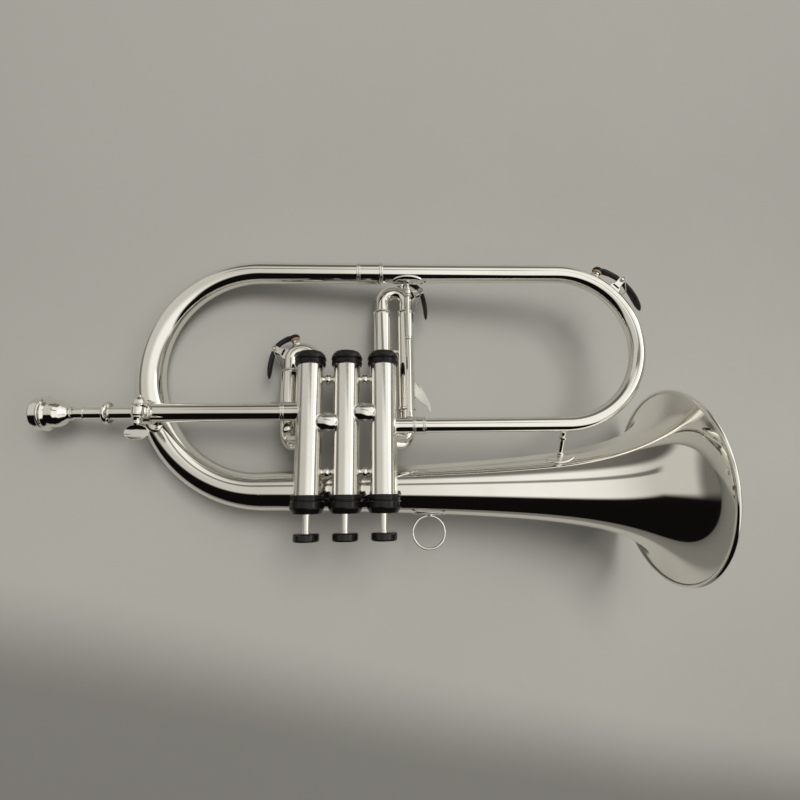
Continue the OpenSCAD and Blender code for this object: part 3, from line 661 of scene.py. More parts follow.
def build_clamp():
    lo, hi = box("clamp_collar")
    shell = lathe([(6.94, -149), (8.3, -149, 0.7), (8.3, -139, 0.7), (6.94, -139)],
                  vec(0, 0, 0), X, 96, loop=True)
    at = vec(CLAMP_X, 0, CLAMP_Z)
    lathe([(1.58, -4.9, 0.2), (3.7, -4.9, 0.5), (4.7, -3.7, 0.6), (5.0, -1.8, 1.2),
           (5.0, 1.75, 0.25), (1.58, 1.95, 0.15)], at, Y, 64, loop=True, shell=shell)
    lathe([(1.58, 2.6, 0.2), (5.35, 2.7, 0.3), (5.35, 3.35, 0.3), (4.75, 3.9, 0.5),
           (3.9, 7.0, 2.0), (2.7, 9.0, 0.7), (1.58, 9.4, 0.3)], at, Y, 64, loop=True,
          shell=shell)
    oval = [(3.7 * math.copysign(abs(math.cos(a)) ** 0.6, math.cos(a)),
             4.3 * math.copysign(abs(math.sin(a)) ** 0.6, math.sin(a)))
            for a in np.linspace(0, 2 * math.pi, 48, endpoint=False)]
    slab([(x, y * 0.62 - 1.6) for x, y in oval], 4.5, 10.0, 0.4,
         lambda x, y, z: vec(CLAMP_X + x, y, z), shell)
    slab([(x, y * 0.44 + 4.9) for x, y in oval], 4.5, 10.0, 0.4,
         lambda x, y, z: vec(CLAMP_X + x, y, z), shell)
    finish_piece(shell, "clamp_band", "horn", silver, "clamp_collar")


def build_thumbscrew():
    lo, hi = box("clamp_thumbscrew")
    half_x = (hi[0] - lo[0]) / 2
    half_y = 5.4
    paddle_y = lo[1] + half_y
    at = vec(CLAMP_X, 0, CLAMP_Z)
    shell = lathe([(0, 10.9), (1.0, 10.8, 0.5), (1.5, 10.1, 0.3), (1.5, -4.95, 0.1),
                   (4.1, -4.98, 0.3), (4.45, -5.5, 0.4), (3.5, -6.3, 0.5), (2.75, -8, 1.5),
                   (2.95, -9.6, 0.8), (2.2, -11.2, 0.6), (0, -11.4)], at, Y, 48)
    c, s = circle(96)
    rows = []
    for f, z in [(0.25, 0.62), (0.5, 0.7), (0.72, 0.84), (0.88, 1.0), (0.94, 1.08), (0.97, 1.04),
                 (0.99, 0.8), (1.0, 0.4), (1.0, -0.4), (0.99, -0.8), (0.97, -1.04),
                 (0.94, -1.08), (0.88, -1.0), (0.72, -0.84), (0.5, -0.7), (0.25, -0.62)]:
        rows.append([at + vec(half_x * f * a, paddle_y + half_y * f * b,
                              z - 1.5 * (1 - (f * b) ** 2) + 0.8) for a, b in zip(c, s)])
    shell.grid(rows)
    finish_piece(shell, "clamp_thumb_paddle", "thumbscrew", silver, "clamp_thumbscrew")


def build_mouthpipe():
    lo, hi = box("mouthpipe")
    a, b = lo[0], hi[0]
    step = box("receiver_ring")[0][0] + 2.6
    shell = lathe([(3.84, a, 0.25), (4.7, a, 0.3), (4.75, a + 1.0, 0.2), (4.5, a + 1.2, 0.1),
                   (4.5, step, 0.1), (4.8, step + 0.2, 0.1), (4.8, b, 0.35), (3.6, b, 0.35),
                   (3.6, a + 23.4, 0.2), (3.38, a + 23.2, 0.1)], vec(0, 0, 0), X, 72, loop=True)
    finish_piece(shell, "mouthpipe_tube", "tuning_mouthpipe", silver, "mouthpipe")
    lo, hi = box("receiver_ring")
    x = lo[0]
    shell = lathe([(4.4, x, 0.1), (7.5, x, 0.5), (8.2, x + 0.9, 0.6), (8.2, x + 2.2, 0.6),
                   (7.3, x + 3.0, 0.8), (5.7, x + 3.7, 0.5), (4.4, x + 3.8)],
                  vec(0, 0, 0), X, 96, loop=True)
    finish_piece(shell, "receiver_collar", "tuning_mouthpipe", silver, "receiver_ring")


def build_mouthpiece():
    lo, hi = box("mouthpiece")
    x = lo[0]
    rim = (hi[1] - lo[1]) / 2 - 0.6
    profile = [(0, x + 27.0), (2.15, x + 27.0), (2.1, x + 22.0, 1.0), (2.6, x + 18.4, 3.0),
               (4.4, x + 14.6, 6.0), (6.6, x + 9.4, 6.0), (7.9, x + 3.4, 3.0),
               (8.35, x + 0.9, 0.8), (9.5, x, 1.6), (10.9, x + 0.2, 1.4), (rim - 0.25, x + 1.6, 1.4),
               (rim, x + 3.4, 3.0), (rim, x + 6.6, 0.6), (rim + 0.6, x + 7.3, 0.5),
               (rim + 0.6, x + 8.2, 0.5), (11.0, x + 9.0, 0.6), (9.9, x + 11.0, 1.6),
               (10.0, x + 13.4, 2.4), (9.7, x + 16.4, 3.0), (8.3, x + 19.4, 2.6),
               (6.0, x + 21.8, 2.0), (4.6, x + 23.2, 1.2),
               (4.4, x + 24.1, 0.3), (5.2, x + 24.5, 0.35), (5.2, x + 25.4, 0.35),
               (4.4, x + 25.8, 0.3), (4.15, x + 27.4, 1.5), (4.1, x + 33.1, 0.2),
               (3.72, x + 33.2, 0.1), (3.3, hi[0], 0.2), (0, hi[0])]
    shell = lathe(profile, vec(0, 0, 0), X, 128)
    finish_piece(shell, "mouthpiece_cup", "mouthpiece", silver, "mouthpiece")


# ---------- valves ----------

def lathe_y(profile, x, seg=96, loop=False, shell=None, z=0.0):
    return lathe(profile, vec(x, 0, z), Y, seg, loop=loop, ref=Z, shell=shell)


def build_caps():
    lo, hi = box("bottom_caps")
    near, far = lo[1], hi[1]
    shell = Shell()
    for x in VALVES:
        lathe_y([(2.0, far, 0.3), (9.2, far, 1.3), (11.05, far - 2.5, 1.2), (11.2, far - 3.9, 0.3),
                 (11.62, far - 4.3, 0.4), (11.62, near + 4.5, 0.4), (10.75, near + 4.0, 0.2),
                 (10.75, near + 3.6, 0.2), (11.15, near + 3.2, 0.3), (11.15, near, 0.5),
                 (CASING_R + 0.03, near, 0.2), (CASING_R + 0.03, CASING_FOOT + 0.05, 0.1),
                 (2.0, CASING_FOOT + 0.05, 0.2)], x, 128, True, shell)
        knurl_band(shell, x, near + 0.7, near + 2.6, 11.15)
    finish_piece(shell, "bottom_cap_set", "horn", cap_black, "bottom_caps")
    lo, hi = box("top_caps")
    far, near = lo[1], hi[1]
    shell = Shell()
    for x in VALVES:
        lathe_y([(2.9, far, 0.4), (9.7, far, 1.0), (11.9, far + 3.4, 0.9), (12.22, far + 4.3, 0.4),
                 (12.22, far + 8.2, 0.4), (11.3, far + 8.7, 0.2), (11.3, far + 9.2, 0.2),
                 (11.62, far + 9.6, 0.3), (11.62, near, 0.5), (CASING_R + 0.03, near, 0.2),
                 (CASING_R + 0.03, far + 2.5, 0.1), (2.9, far + 2.5, 0.2)], x, 128, True, shell)
        knurl_band(shell, x, far + 10.4, near - 0.9, 11.62)
    finish_piece(shell, "top_cap_set", "horn", cap_black, "top_caps")
    lo, hi = box("cap_felts")
    shell = Shell()
    rng = np.random.default_rng(7)
    for x in VALVES:
        part = lathe_y([(2.9, lo[1], 0.4), (8.0, lo[1], 0.5), (8.0, hi[1], 0.7),
                        (2.9, hi[1], 0.7)], x, 96, True)
        fuzz = rng.normal(0, 0.03, (len(part.verts), 3))
        inner = [tuple(np.array(v) - np.abs(f) * unit(vec(v[0] - x, 0, v[2])))
                 for v, f in zip(part.verts, fuzz)]
        shell.add(inner, part.faces)
    finish_piece(shell, "cap_felt_rings", "horn", felt, "cap_felts")


def knurl_band(shell, x, y0, y1, r):
    """Fine straight ribs standing just proud of a cap's gripping band."""
    n = 72
    for k in range(n):
        a = 2 * math.pi * k / n
        out = vec(math.cos(a), 0, math.sin(a))
        side = vec(-math.sin(a), 0, math.cos(a))
        rows = []
        for y, f in ((y0, 0.3), (y0 + 0.3, 1.0), (y1 - 0.3, 1.0), (y1, 0.3)):
            rows.append([vec(x, y, 0) + out * (r - 0.1) + side * 0.3 * f,
                         vec(x, y, 0) + out * (r + 0.2 * f),
                         vec(x, y, 0) + out * (r - 0.1) - side * 0.3 * f,
                         vec(x, y, 0) + out * (r - 0.3)])
        shell.grid(rows)


def build_moving_valve(i):
    x = VALVES[i]
    n = i + 1
    lo, hi = box(f"button_{n}")
    near, far = hi[1], lo[1]
    r = (hi[0] - lo[0]) / 2
    shell = lathe_y([(0, near + 0.0), (8.3, near, 0.4), (r, near - 0.8, 0.5), (r, far + 0.9, 0.8),
                     (8.5, far, 0.5), (7.5, far, 0.4), (5.5, far + 0.45, 3.0),
                     (0, far + 0.7)], x, 96)
    finish_piece(shell, f"finger_button_{n}", f"valve_{n}", button_black, f"button_{n}")
    lo, hi = box(f"stem_{n}")
    top = lo[1]
    shell = lathe_y([(0, top), (2.5, top, 0.2), (2.5, -68.0, 0.2), (2.55, -67.4, 0.2),
                     (4.45, -67.0, 0.3), (4.5, hi[1], 0.2), (0, hi[1])], x, 64)
    lathe_y([(2.4, near + 1.6, 0.1), (2.62, near + 1.4, 0.1), (2.7, near + 0.02, 0.1),
             (2.4, near + 0.02)], x, 64, True, shell)
    finish_piece(shell, f"valve_stem_{n}", f"valve_{n}", silver, f"stem_{n}")
    lo, hi = box(f"spring_{n}")
    turns, wire_r, r = 9, 0.5, 5.5
    y0, y1 = lo[1] + wire_r, hi[1] - wire_r
    pts = []
    for k in range(turns * 36 + 1):
        f = k / (turns * 36)
        a = 2 * math.pi * turns * f
        pts.append(vec(x + r * math.cos(a), y0 + (y1 - y0) * f, r * math.sin(a)))
    obj = finish_piece(wire(pts, wire_r, 12), f"valve_spring_{n}", "horn", steel,
                       f"spring_{n}")
    anchor = (ORIGIN + vec(x, hi[1], 0)) * MM
    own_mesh(obj)


BALL, BALL_LIFT = (9.4, 6.9, 6.0), box("valve_knuckles")[1][2] - 6.0


def pressed(rows, posts, radius):
    """Moves points that fall inside round posts out to a radius within the posts' walls."""
    rows = np.array(rows, float)
    for x in posts:
        flat = rows[..., [0, 2]] - np.array([x, 0.0])
        dist = np.linalg.norm(flat, axis=-1)
        scale = np.where(dist < radius, radius / np.maximum(dist, 1e-6), 1.0)
        rows[..., 0] = x + flat[..., 0] * scale
        rows[..., 2] = flat[..., 1] * scale
    return rows


def passage_ball(shell, x0, x1, y):
    """Wind passage between two casings: a ball that bulges proud of them, round a collar."""
    mid = (x0 + x1) / 2
    c, s = circle(112)
    rows = []
    for g in np.linspace(0.02, math.pi - 0.02, 72):
        rows.append(vec(mid, y, BALL_LIFT) - X * BALL[0] * math.cos(g)
                    + math.sin(g) * (BALL[1] * s[:, None] * Y + BALL[2] * c[:, None] * Z))
    shell.grid(pressed(rows, (x0, x1), CASING_R - 0.35))
    rows = [vec(mid + x, y, 0) + r * (c[:, None] * Z + s[:, None] * Y)
            for x in np.linspace(-7, 7, 29) for r in [5.6]]
    shell.grid(pressed(rows, (x0, x1), CASING_R - 0.35))


def bridge(profile, at, axis, host_a, host_b, seg=48, fillet=0.8, shell=None, ref=None):
    """Turned bar between two round hosts, soldered to both; profile runs from a to b."""
    shell = shell or Shell()
    ref = Z if ref is None else ref
    pts = rounded(profile)
    _, side, up = frame_of(axis, ref)
    c, s = circle(seg)
    axis = unit(axis)
    rows = [at + axis * d + r * (c[:, None] * side + s[:, None] * up) for r, d in pts]
    first, last = at + axis * pts[0][1], at + axis * pts[-1][1]
    head = seated_rows(first, axis, ref, pts[0][0], seg, host_a, fillet, -1) if host_a else []
    tail = seated_rows(last, axis, ref, pts[-1][0], seg, host_b, fillet) if host_b else []
    return shell.grid(head[::-1] + rows + tail)


def build_passages():
    lo, hi = box("valve_knuckles")
    shell = Shell()
    passage_ball(shell, VALVES[0], VALVES[1], -8.6)
    passage_ball(shell, VALVES[1], VALVES[2], -1.6)
    end = box("exit_ferrule")[0][0]
    c, s = circle(72)
    start = vec(VALVES[2] + CASING_R + 2.5, EXIT_Y, 0)
    head = seated_rows(start, X, Z, 5.75, 72, (vec(VALVES[2], 0, 0), Y, CASING_R), 1.1, -1)
    rows = [vec(x, EXIT_Y, 0) + r * (c[:, None] * Z + s[:, None] * np.cross(X, Z))
            for r, x in [(5.75, start[0]), (5.75, end - 0.4), (5.75, end + 2.0)]]
    shell.grid(head[::-1] + rows)
    finish_piece(shell, "valve_passages", "horn", silver, "valve_knuckles")
    shell = Shell()
    for a, b in ((0, 1), (1, 2)):
        for y in (24.0, -44.0):
            mid = vec((VALVES[a] + VALVES[b]) / 2, y, 0)
            bridge([(2.5, -2.9), (2.4, -2.2, 0.4), (3.4, -1.6, 0.5), (3.9, 0, 2.6),
                    (3.4, 1.6, 0.5), (2.4, 2.2, 0.4), (2.5, 2.9)], mid, X,
                   casing_host(a), casing_host(b), 48, 1.0, shell)
    finish_piece(shell, "casing_brace_bars", "horn", silver, "casing_braces")


# ---------- valve slides ----------

LEG_GAP = 18.7
SLEEVE_R, INNER_R, ELBOW_R, RING_Y = 7.0, 5.7, 6.2, 5.0
SLIDE_Z = -(box("slide_1_crook")[0][2] + INNER_R)


def sleeve_tube(shell, at, axis, low, mouth, ring, seg=80):
    """Outer tube of a slide: closed below, open at the mouth, with a ring near its foot."""
    profile = [(0, low + 0.6), (5.76, low + 0.8, 0.2), (5.76, mouth - 1.0, 0.1),
               (6.45, mouth - 0.6, 0.15), (6.6, mouth, 0.15), (7.0, mouth, 0.4),
               (7.6, mouth - 0.7, 0.8), (7.6, mouth - 1.3, 0.8), (6.9, mouth - 2.0, 0.3),
               (6.75, mouth - 2.5, 0.3), (SLEEVE_R, mouth - 2.9, 0.15)]
    if ring:
        profile += [(SLEEVE_R, ring + 1.1, 0.1), (SLEEVE_R + 0.45, ring + 0.9, 0.4),
                    (SLEEVE_R + 0.45, ring - 0.7, 0.4), (ELBOW_R + 0.15, ring - 1.3, 0.3),
                    (0, ring - 1.5)]
    else:
        profile += [(SLEEVE_R, low, 0.2), (0, low)]
    return lathe(profile, at, axis, seg, ref=Z if abs(axis[2]) < 0.5 else X, shell=shell)


def slide_leg(shell, valve, lx, py, mouth, bend):
    """One leg: a straight sleeve, then an elbow that turns in to the casing."""
    foot = vec(VALVES[valve] + lx, 0, -SLIDE_Z)
    sleeve_tube(shell, foot, Y, RING_Y, mouth, RING_Y)
    inward = unit(vec(-lx, 0, SLIDE_Z))
    ref = np.cross(Y, inward)
    stations = [(foot + Y * y, -Y, ELBOW_R) for y in (RING_Y - 0.4, RING_Y - 1.6, py + bend + 0.3)
                if y >= py + bend]
    for k in range(25):
        a = math.pi / 2 * k / 24
        c = foot + vec(0, py + bend, 0) + inward * bend * (1 - math.cos(a))
        c = c - Y * bend * math.sin(a)
        stations.append((c, -Y * math.cos(a) + inward * math.sin(a), ELBOW_R))
    rows = [ring_row(c, t, ref, r, 64) for c, t, r in stations]
    gap = math.hypot(lx, SLIDE_Z) - CASING_R - bend
    end = stations[-1][0] + inward * max(gap * 0.35, 0.02)
    rows.append(ring_row(end, inward, ref, ELBOW_R, 64))
    rows += seated_rows(end, inward, ref, ELBOW_R, 64, casing_host(valve), 0.35)
    shell.grid(rows)


def crook_tube(centre, side, along, arm):
    """U of inner tube: two arms that run against `along`, joined by a half circle."""
    half = LEG_GAP / 2
    st = [(centre - side * half - along * (arm - d), along, INNER_R)
          for d in np.linspace(0, arm, 10)[:-1]]
    for k in range(73):
        a = math.pi * k / 72
        st.append((centre - side * half * math.cos(a) + along * half * math.sin(a),
                   side * math.sin(a) + along * math.cos(a), INNER_R))
    st += [(centre + side * half - along * d, -along, INNER_R)
           for d in np.linspace(0, arm, 10)[1:]]
    return tube(st, np.cross(side, along), 0.9, 64)


def build_side_slide(n, valve, sign, mouth_node):
    lo, hi = box(f"slide_{n}_crook")
    turn = hi[1] - LEG_GAP / 2 - INNER_R
    cx = (lo[0] + hi[0]) / 2
    crook = crook_tube(vec(cx, turn, -SLIDE_Z), X, Y, turn - lo[1])
    finish_piece(crook, f"slide_{n}_bow", f"slide_{n}", silver, f"slide_{n}_crook")
    mouth = box(mouth_node)[1][1]
    inner = abs(cx) - LEG_GAP / 2 - PITCH
    outer = abs(cx) + LEG_GAP / 2 - PITCH
    shell = Shell()
    slide_leg(shell, valve, sign * inner, -6.0, mouth, SLIDE_Z - CASING_R - 0.4)
    slide_leg(shell, valve, sign * outer, -21.0, mouth, 10.0)
    finish_piece(shell, f"slide_{n}_tubes", "horn", silver, f"slide_{n}_sleeves")


def build_slide_2():
    lo, hi = box("slide_2_crook")
    turn = -(lo[2] + LEG_GAP / 2 + INNER_R)
    cy = (lo[1] + hi[1]) / 2
    arm = hi[2] + turn
    crook = crook_tube(vec(0, cy, -turn), Y, -Z, arm)
    finish_piece(crook, "slide_2_bow", "slide_2", silver, "slide_2_crook")
    mouth = -box("slide_2_sleeves")[0][2]
    shell = Shell()
    for s in (-1, 1):
        at = vec(0, cy + s * LEG_GAP / 2, 0)
        c, sn = circle(80)
        ref = X
        profile = rounded([(0, 14.0), (5.76, 14.2, 0.2), (5.76, mouth - 1.0, 0.1),
                           (6.45, mouth - 0.6, 0.15), (6.6, mouth, 0.15), (7.0, mouth, 0.4),
                           (7.6, mouth - 0.7, 0.8), (7.6, mouth - 1.3, 0.8),
                           (6.9, mouth - 2.0, 0.3), (6.75, mouth - 2.5, 0.3),
                           (SLEEVE_R, mouth - 2.9, 0.15), (SLEEVE_R, 12.4)])
        _, side, up = frame_of(Z, ref)
        rows = [at - Z * d + r * (c[:, None] * side + sn[:, None] * up) for r, d in profile[1:]]
        rows += seated_rows(at - Z * 12.4, Z, ref, SLEEVE_R, 80, casing_host(1), 0.9)
        shell.grid(rows)
    finish_piece(shell, "slide_2_tubes", "horn", silver, "slide_2_sleeves")


def build_slide_brace():
    lo, hi = box("slide_3_brace")
    mid = (lo + hi) / 2
    half = LEG_GAP / 2
    hosts = [(vec(mid[0] + s * half, 0, -SLIDE_Z), Y, SLEEVE_R) for s in (-1, 1)]
    shell = bridge([(1.8, -1.4), (1.8, -1.1, 0.2), (2.5, -0.9, 0.4), (2.5, 0.9, 0.4),
                    (1.8, 1.1, 0.2), (1.8, 1.4)], vec(mid[0], mid[1], -SLIDE_Z), X,
                   hosts[0], hosts[1], 40, 0.7)
    finish_piece(shell, "slide_3_cross_bar", "horn", silver, "slide_3_brace")


# ---------- stays, ring and hook ----------

def build_return_stay():
    lo, hi = box("return_stay")
    x = (lo[0] + hi[0]) / 2
    top = BOW_TOP_Y - FERRULE_R
    at = vec(x, 0, 0)
    shell = bridge([(2.5, EXIT_Y + 9.0), (2.2, EXIT_Y + 11.0, 1.0), (2.2, 55.2, 0.1),
                    (2.75, 55.4, 0.4), (2.75, 57.4, 0.4), (1.35, 58.0, 0.3), (1.35, 90.3, 0.1),
                    (2.2, 90.5, 0.4), (2.2, 91.7, 0.4), (1.7, 91.9, 0.1), (1.7, 92.1, 0.1),
                    (2.5, 92.3, 0.5), (2.5, 95.3, 0.5), (1.7, 95.5, 0.1), (1.7, 95.7, 0.1),
                    (2.2, 95.9, 0.4), (2.2, 97.1, 0.4), (1.35, 97.4, 0.2), (1.35, top + 0.4)],
                   at, Y, (vec(0, EXIT_Y, 0), X, 5.75), None, 48, 1.6)
    saddle(straight_host(vec(x, BOW_TOP_Y, 0), X, -Y, 7.55), (hi[0] - lo[0]) / 2, 7.4, 0.9,
           1.35, 1.8, shell=shell)
    finish_piece(shell, "return_tube_stay", "horn", silver, "return_stay")


def build_bell_stay():
    lo, hi = box("bell_stay")
    x = (lo[0] + hi[0]) / 2
    gap = vec(0, BELL_Y - EXIT_Y, BELL_Z)
    d = unit(gap)
    at = vec(x, EXIT_Y, 0)
    top = np.linalg.norm(gap) - bell_r(x)
    shell = bridge([(2.3, 9.0), (1.9, 9.6, 0.4), (1.9, 10.0, 0.2), (2.9, 10.2, 0.5),
                    (2.9, 12.2, 0.5), (1.9, 12.5, 0.2), (1.7, 14.0, 0.5), (1.7, top - 4.5, 0.3),
                    (2.6, top - 3.9, 0.6), (2.9, top + 0.5)],
                   at, d, (vec(0, EXIT_Y, 0), X, branch_radius(x - EXIT_JOINT)), None, 48, 1.8)
    saddle(straight_host(vec(x, BELL_Y, BELL_Z), X, -d, lambda s: bell_r(x + s) - 0.05),
           (hi[0] - lo[0]) / 2, 7.5, 1.0, 2.7, 2.4, shell=shell)
    finish_piece(shell, "exit_to_bell_stay", "horn", silver, "bell_stay")


def build_leadpipe_stay():
    a = 108.4
    c, t, r = bow_station(a)
    t = unit(t)
    def host(s, w):
        cc, tt, rr = bow_station(a + math.degrees(s / BOW_R))
        tt = unit(tt)
        o = unit(Z - tt * (Z @ tt))
        around = np.cross(tt, o)
        g = w / rr
        n = math.cos(g) * o + math.sin(g) * around
        return cc + n * (rr - 0.03), n

    shell = saddle(host, 12.6, 8.4, 0.9, 0, 1.6)
    lo, hi = box("leadpipe_stay")
    post = vec(-142.8, 1.0, 0)
    bridge([(3.3, -9.6), (3.1, -8.6)], post, Z, None, (vec(0, 0, 0), X, 7.0), 48, 1.0, shell,
           ref=X)
    finish_piece(shell, "leadpipe_bow_stay", "horn", silver, "leadpipe_stay")


def build_valve_bell_stays():
    shell = Shell()
    y0 = -44.0
    for i in (0, 2):
        start = vec(VALVES[i], y0, 0)
        foot = vec(VALVES[i], BELL_Y, BELL_Z)
        d = unit(foot - start)
        reach = np.linalg.norm(foot - start) - bell_r(VALVES[i])
        bridge([(2.4, 11.2), (2.2, 11.8, 0.4), (2.9, 12.2, 0.4), (2.9, 13.4, 0.4),
                (2.3, 13.8, 0.3), (2.3, reach + 0.6)], start, d,
               casing_host(i), None, 40, 1.2, shell, ref=X)
        saddle(straight_host(foot, X, -d, lambda s, i=i: bell_r(VALVES[i] + s) - 0.05),
               8.0, 5.6, 0.8, 2.3, 1.4, shell=shell)
    finish_piece(shell, "valve_to_bell_stays", "horn", silver, "valve_bell_stays")


def build_finger_ring():
    lo, hi = box("finger_ring")
    x = (lo[0] + hi[0]) / 2
    ring_r, wire_r = 12.2, 0.95
    cy = lo[1] + ring_r + wire_r
    cz = BELL_Z
    pts = [vec(x + ring_r * math.sin(a), cy + ring_r * math.cos(a), cz)
           for a in np.linspace(0, 2 * math.pi, 145)[:-1]]
    shell = Shell()
    c, s = circle(24)
    rows = []
    for p in pts:
        out = unit(p - vec(x, cy, cz))
        rows.append(p + wire_r * (c[:, None] * out + s[:, None] * Z))
    shell.grid(rows, loop_rows=True)
    low = BELL_Y - bell_r(x)
    bridge([(1.5, low - 1.6 - 0.3), (1.7, low - 0.9, 0.5), (2.6, low - 0.2), (3.2, low + 0.6)],
           vec(x, 0, cz), Y, None, None, 40, 1, shell)
    saddle(straight_host(vec(x, BELL_Y, BELL_Z), X, -Y, lambda s: bell_r(x + s) - 0.05),
           13.0, 7.0, 0.8, 1.9, 1.8, shell=shell)
    finish_piece(shell, "little_finger_ring", "horn", silver, "finger_ring")


def build_hook():
    """Leaf of bent sheet, soldered on edge to the outer sleeve of the third slide."""
    lo, hi = box("finger_hook")
    x0, top = lo[0], hi[1]
    z = (lo[2] + hi[2]) / 2
    right = bezier([(x0 + 1.2, top + 0.0, 0), (x0 + 3.4, top - 2.0, 0), (x0 + 6.6, top - 7.4, 0),
                    (x0 + 9.8, top - 14.2, 0), (x0 + 12.0, top - 20.6, 0),
                    (hi[0] - 0.2, lo[1] + 0.6, 0)], 8)
    left = bezier([(hi[0] - 1.0, lo[1] + 0.2, 0), (x0 + 9.4, top - 21.2, 0),
                   (x0 + 5.4, top - 17.6, 0), (x0 + 2.4, top - 14.4, 0),
                   (x0 + 0.4, top - 12.0, 0)], 8)
    outline = [p[:2] for p in right] + [p[:2] for p in left] + [(x0 + 0.2, top - 1.0)]

    def place(x, y, h):
        lean = ((x - x0) / 13.0) ** 2
        return vec(x, y, z + h + 2.0 * lean)

    shell = slab(outline, -0.6, 0.6, 0.35, place)
    finish_piece(shell, "finger_hook_leaf", "horn", silver, "finger_hook")


# ---------- water keys ----------

def key_place(k):
    """Maps a key's own frame to the valve frame; +Y points away from the tube."""
    centre, bend, turn, _, _, mirrored = k
    a = math.radians(-turn)

    def place(x, y, z):
        y = y + bend
        px, py = x * math.cos(a) - y * math.sin(a), x * math.sin(a) + y * math.cos(a)
        return centre + vec(-px if mirrored else px, py, z)
    return place


def key_parts(prefix, piece, k, tube_r, body_saddle, body_lever, tail):
    centre, bend, turn, nip, pivot, mirrored = k
    place = key_place(k)
    to = np.array
    e = math.radians(nip)

    def local(points):
        return np.array([place(*p) for p in points])

    def along_nipple(profile, seg=48, shell=None):
        """Turned part on the nipple's axis; distances are measured from the tube's skin."""
        base = place(-math.sin(e) * bend, math.cos(e) * bend - bend, 0)
        tip = place(-math.sin(e) * (bend + 10), math.cos(e) * (bend + 10) - bend, 0)
        return lathe(profile, base, tip - base, seg, shell=shell)

    # saddle: two cheeks on a foot, the pivot screw and the nipple
    shell = Shell()
    foot = [(-4.2, -1.8), (4.2, -1.8), (4.0, 1.2), (3.2, 2.4), (-3.2, 2.4), (-4.0, 1.2)]
    foot = [tuple(p[:2]) for p in bezier([(x, y, 0) for x, y in foot + foot[:1]], 6)][:-1]
    slab(foot, -3.3, 3.3, 0.4, place, shell)
    for z in (-3.3, 2.0):
        cheek = [(-3.0, 0.4), (3.0, 0.4), (2.5, pivot * 0.55), (2.6, pivot)]
        cheek += [(2.6 * math.cos(a), pivot + 2.6 * math.sin(a))
                  for a in np.linspace(0.25, math.pi - 0.25, 12)]
        cheek += [(-2.6, pivot), (-2.5, pivot * 0.55)]
        slab(cheek, z, z + 1.3, 0.3, place, shell)
    head = place(0, pivot, 0)
    axis = place(0, pivot, 1) - head
    lathe([(0, -4.0), (0.7, -3.95, 0.3), (1.0, -3.6, 0.1), (1.0, 3.3, 0.1), (1.9, 3.35, 0.2),
           (1.9, 3.85, 0.3), (1.2, 4.05, 0.2), (0, 4.05)], head, axis, 32, shell=shell)
    along_nipple([(0, -1.4), (4.4, -1.2), (3.7, 0.2, 1.0), (3.2, 1.2, 0.5), (2.9, 2.95, 0.3),
                  (1.1, 2.95, 0.2), (1.1, -0.5), (0, -0.5)], shell=shell)
    finish_piece(shell, f"{piece}_saddle", body_saddle, silver, f"{prefix}_saddle")

    # lever: cup over the nipple, bar over the pivot and a leaf for the finger
    cup = (-math.sin(e) * (bend + 6.4), math.cos(e) * (bend + 6.4) - bend)
    tx, ty = tail
    peak = pivot + 0.2
    pts = []
    for k2 in range(21):
        t = k2 / 20
        pts.append((cup[0] * (1 - t), cup[1] + (peak - cup[1]) * (1 - (1 - t) ** 2), 0))
    for k2 in range(1, 37):
        t = k2 / 36
        pts.append((tx * t, peak + (ty - peak) * t ** 1.7, 0))
    pts = np.array(pts)
    arc = np.concatenate([[0], np.cumsum(np.linalg.norm(np.diff(pts, axis=0), axis=1))])
    f = arc / arc[-1]
    mid = f[20]
    wide = cast([(0, 1.4), (0.03, 2.6), (0.1, 2.9), (0.22, 1.9), (mid, 1.55), (mid + 0.06, 1.7),
                 (mid + 0.2, 2.9), (mid + 0.36, 3.5), (0.9, 3.1), (0.97, 1.9), (1.0, 0.5)], f)
    thick = cast([(0, 0.7), (0.03, 1.5), (0.12, 1.95), (mid - 0.05, 1.9), (mid, 1.9),
                  (mid + 0.05, 1.85), (mid + 0.25, 1.75), (0.86, 1.6), (0.95, 1.1),
                  (1.0, 0.35)], f)
    shell = ribbon(local(pts), wide, thick, place(0, 0, 1) - place(0, 0, 0))
    lathe([(0, -1.66), (1.9, -1.66, 0.2), (2.4, -1.3, 0.3), (2.4, 1.3, 0.3), (1.9, 1.66, 0.2),
           (0, 1.66)], head, axis, 40, shell=shell)
    along_nipple([(0, 4.6), (3.4, 4.6, 0.2), (4.05, 4.75, 0.3), (4.1, 6.0, 0.6),
                  (3.5, 7.3, 0.8), (2.4, 7.9, 0.6), (0, 8.0)], shell=shell)
    finish_piece(shell, f"{piece}_lever", body_lever, lever_black, f"{prefix}_lever")
    shell = along_nipple([(0, 3.03), (3.2, 3.03, 0.4), (3.5, 3.4, 0.4), (3.5, 4.9, 0.2),
                          (0, 4.9)])
    finish_piece(shell, f"{piece}_cork_pad", body_lever, cork, f"{prefix}_cork")
    return place, pivot


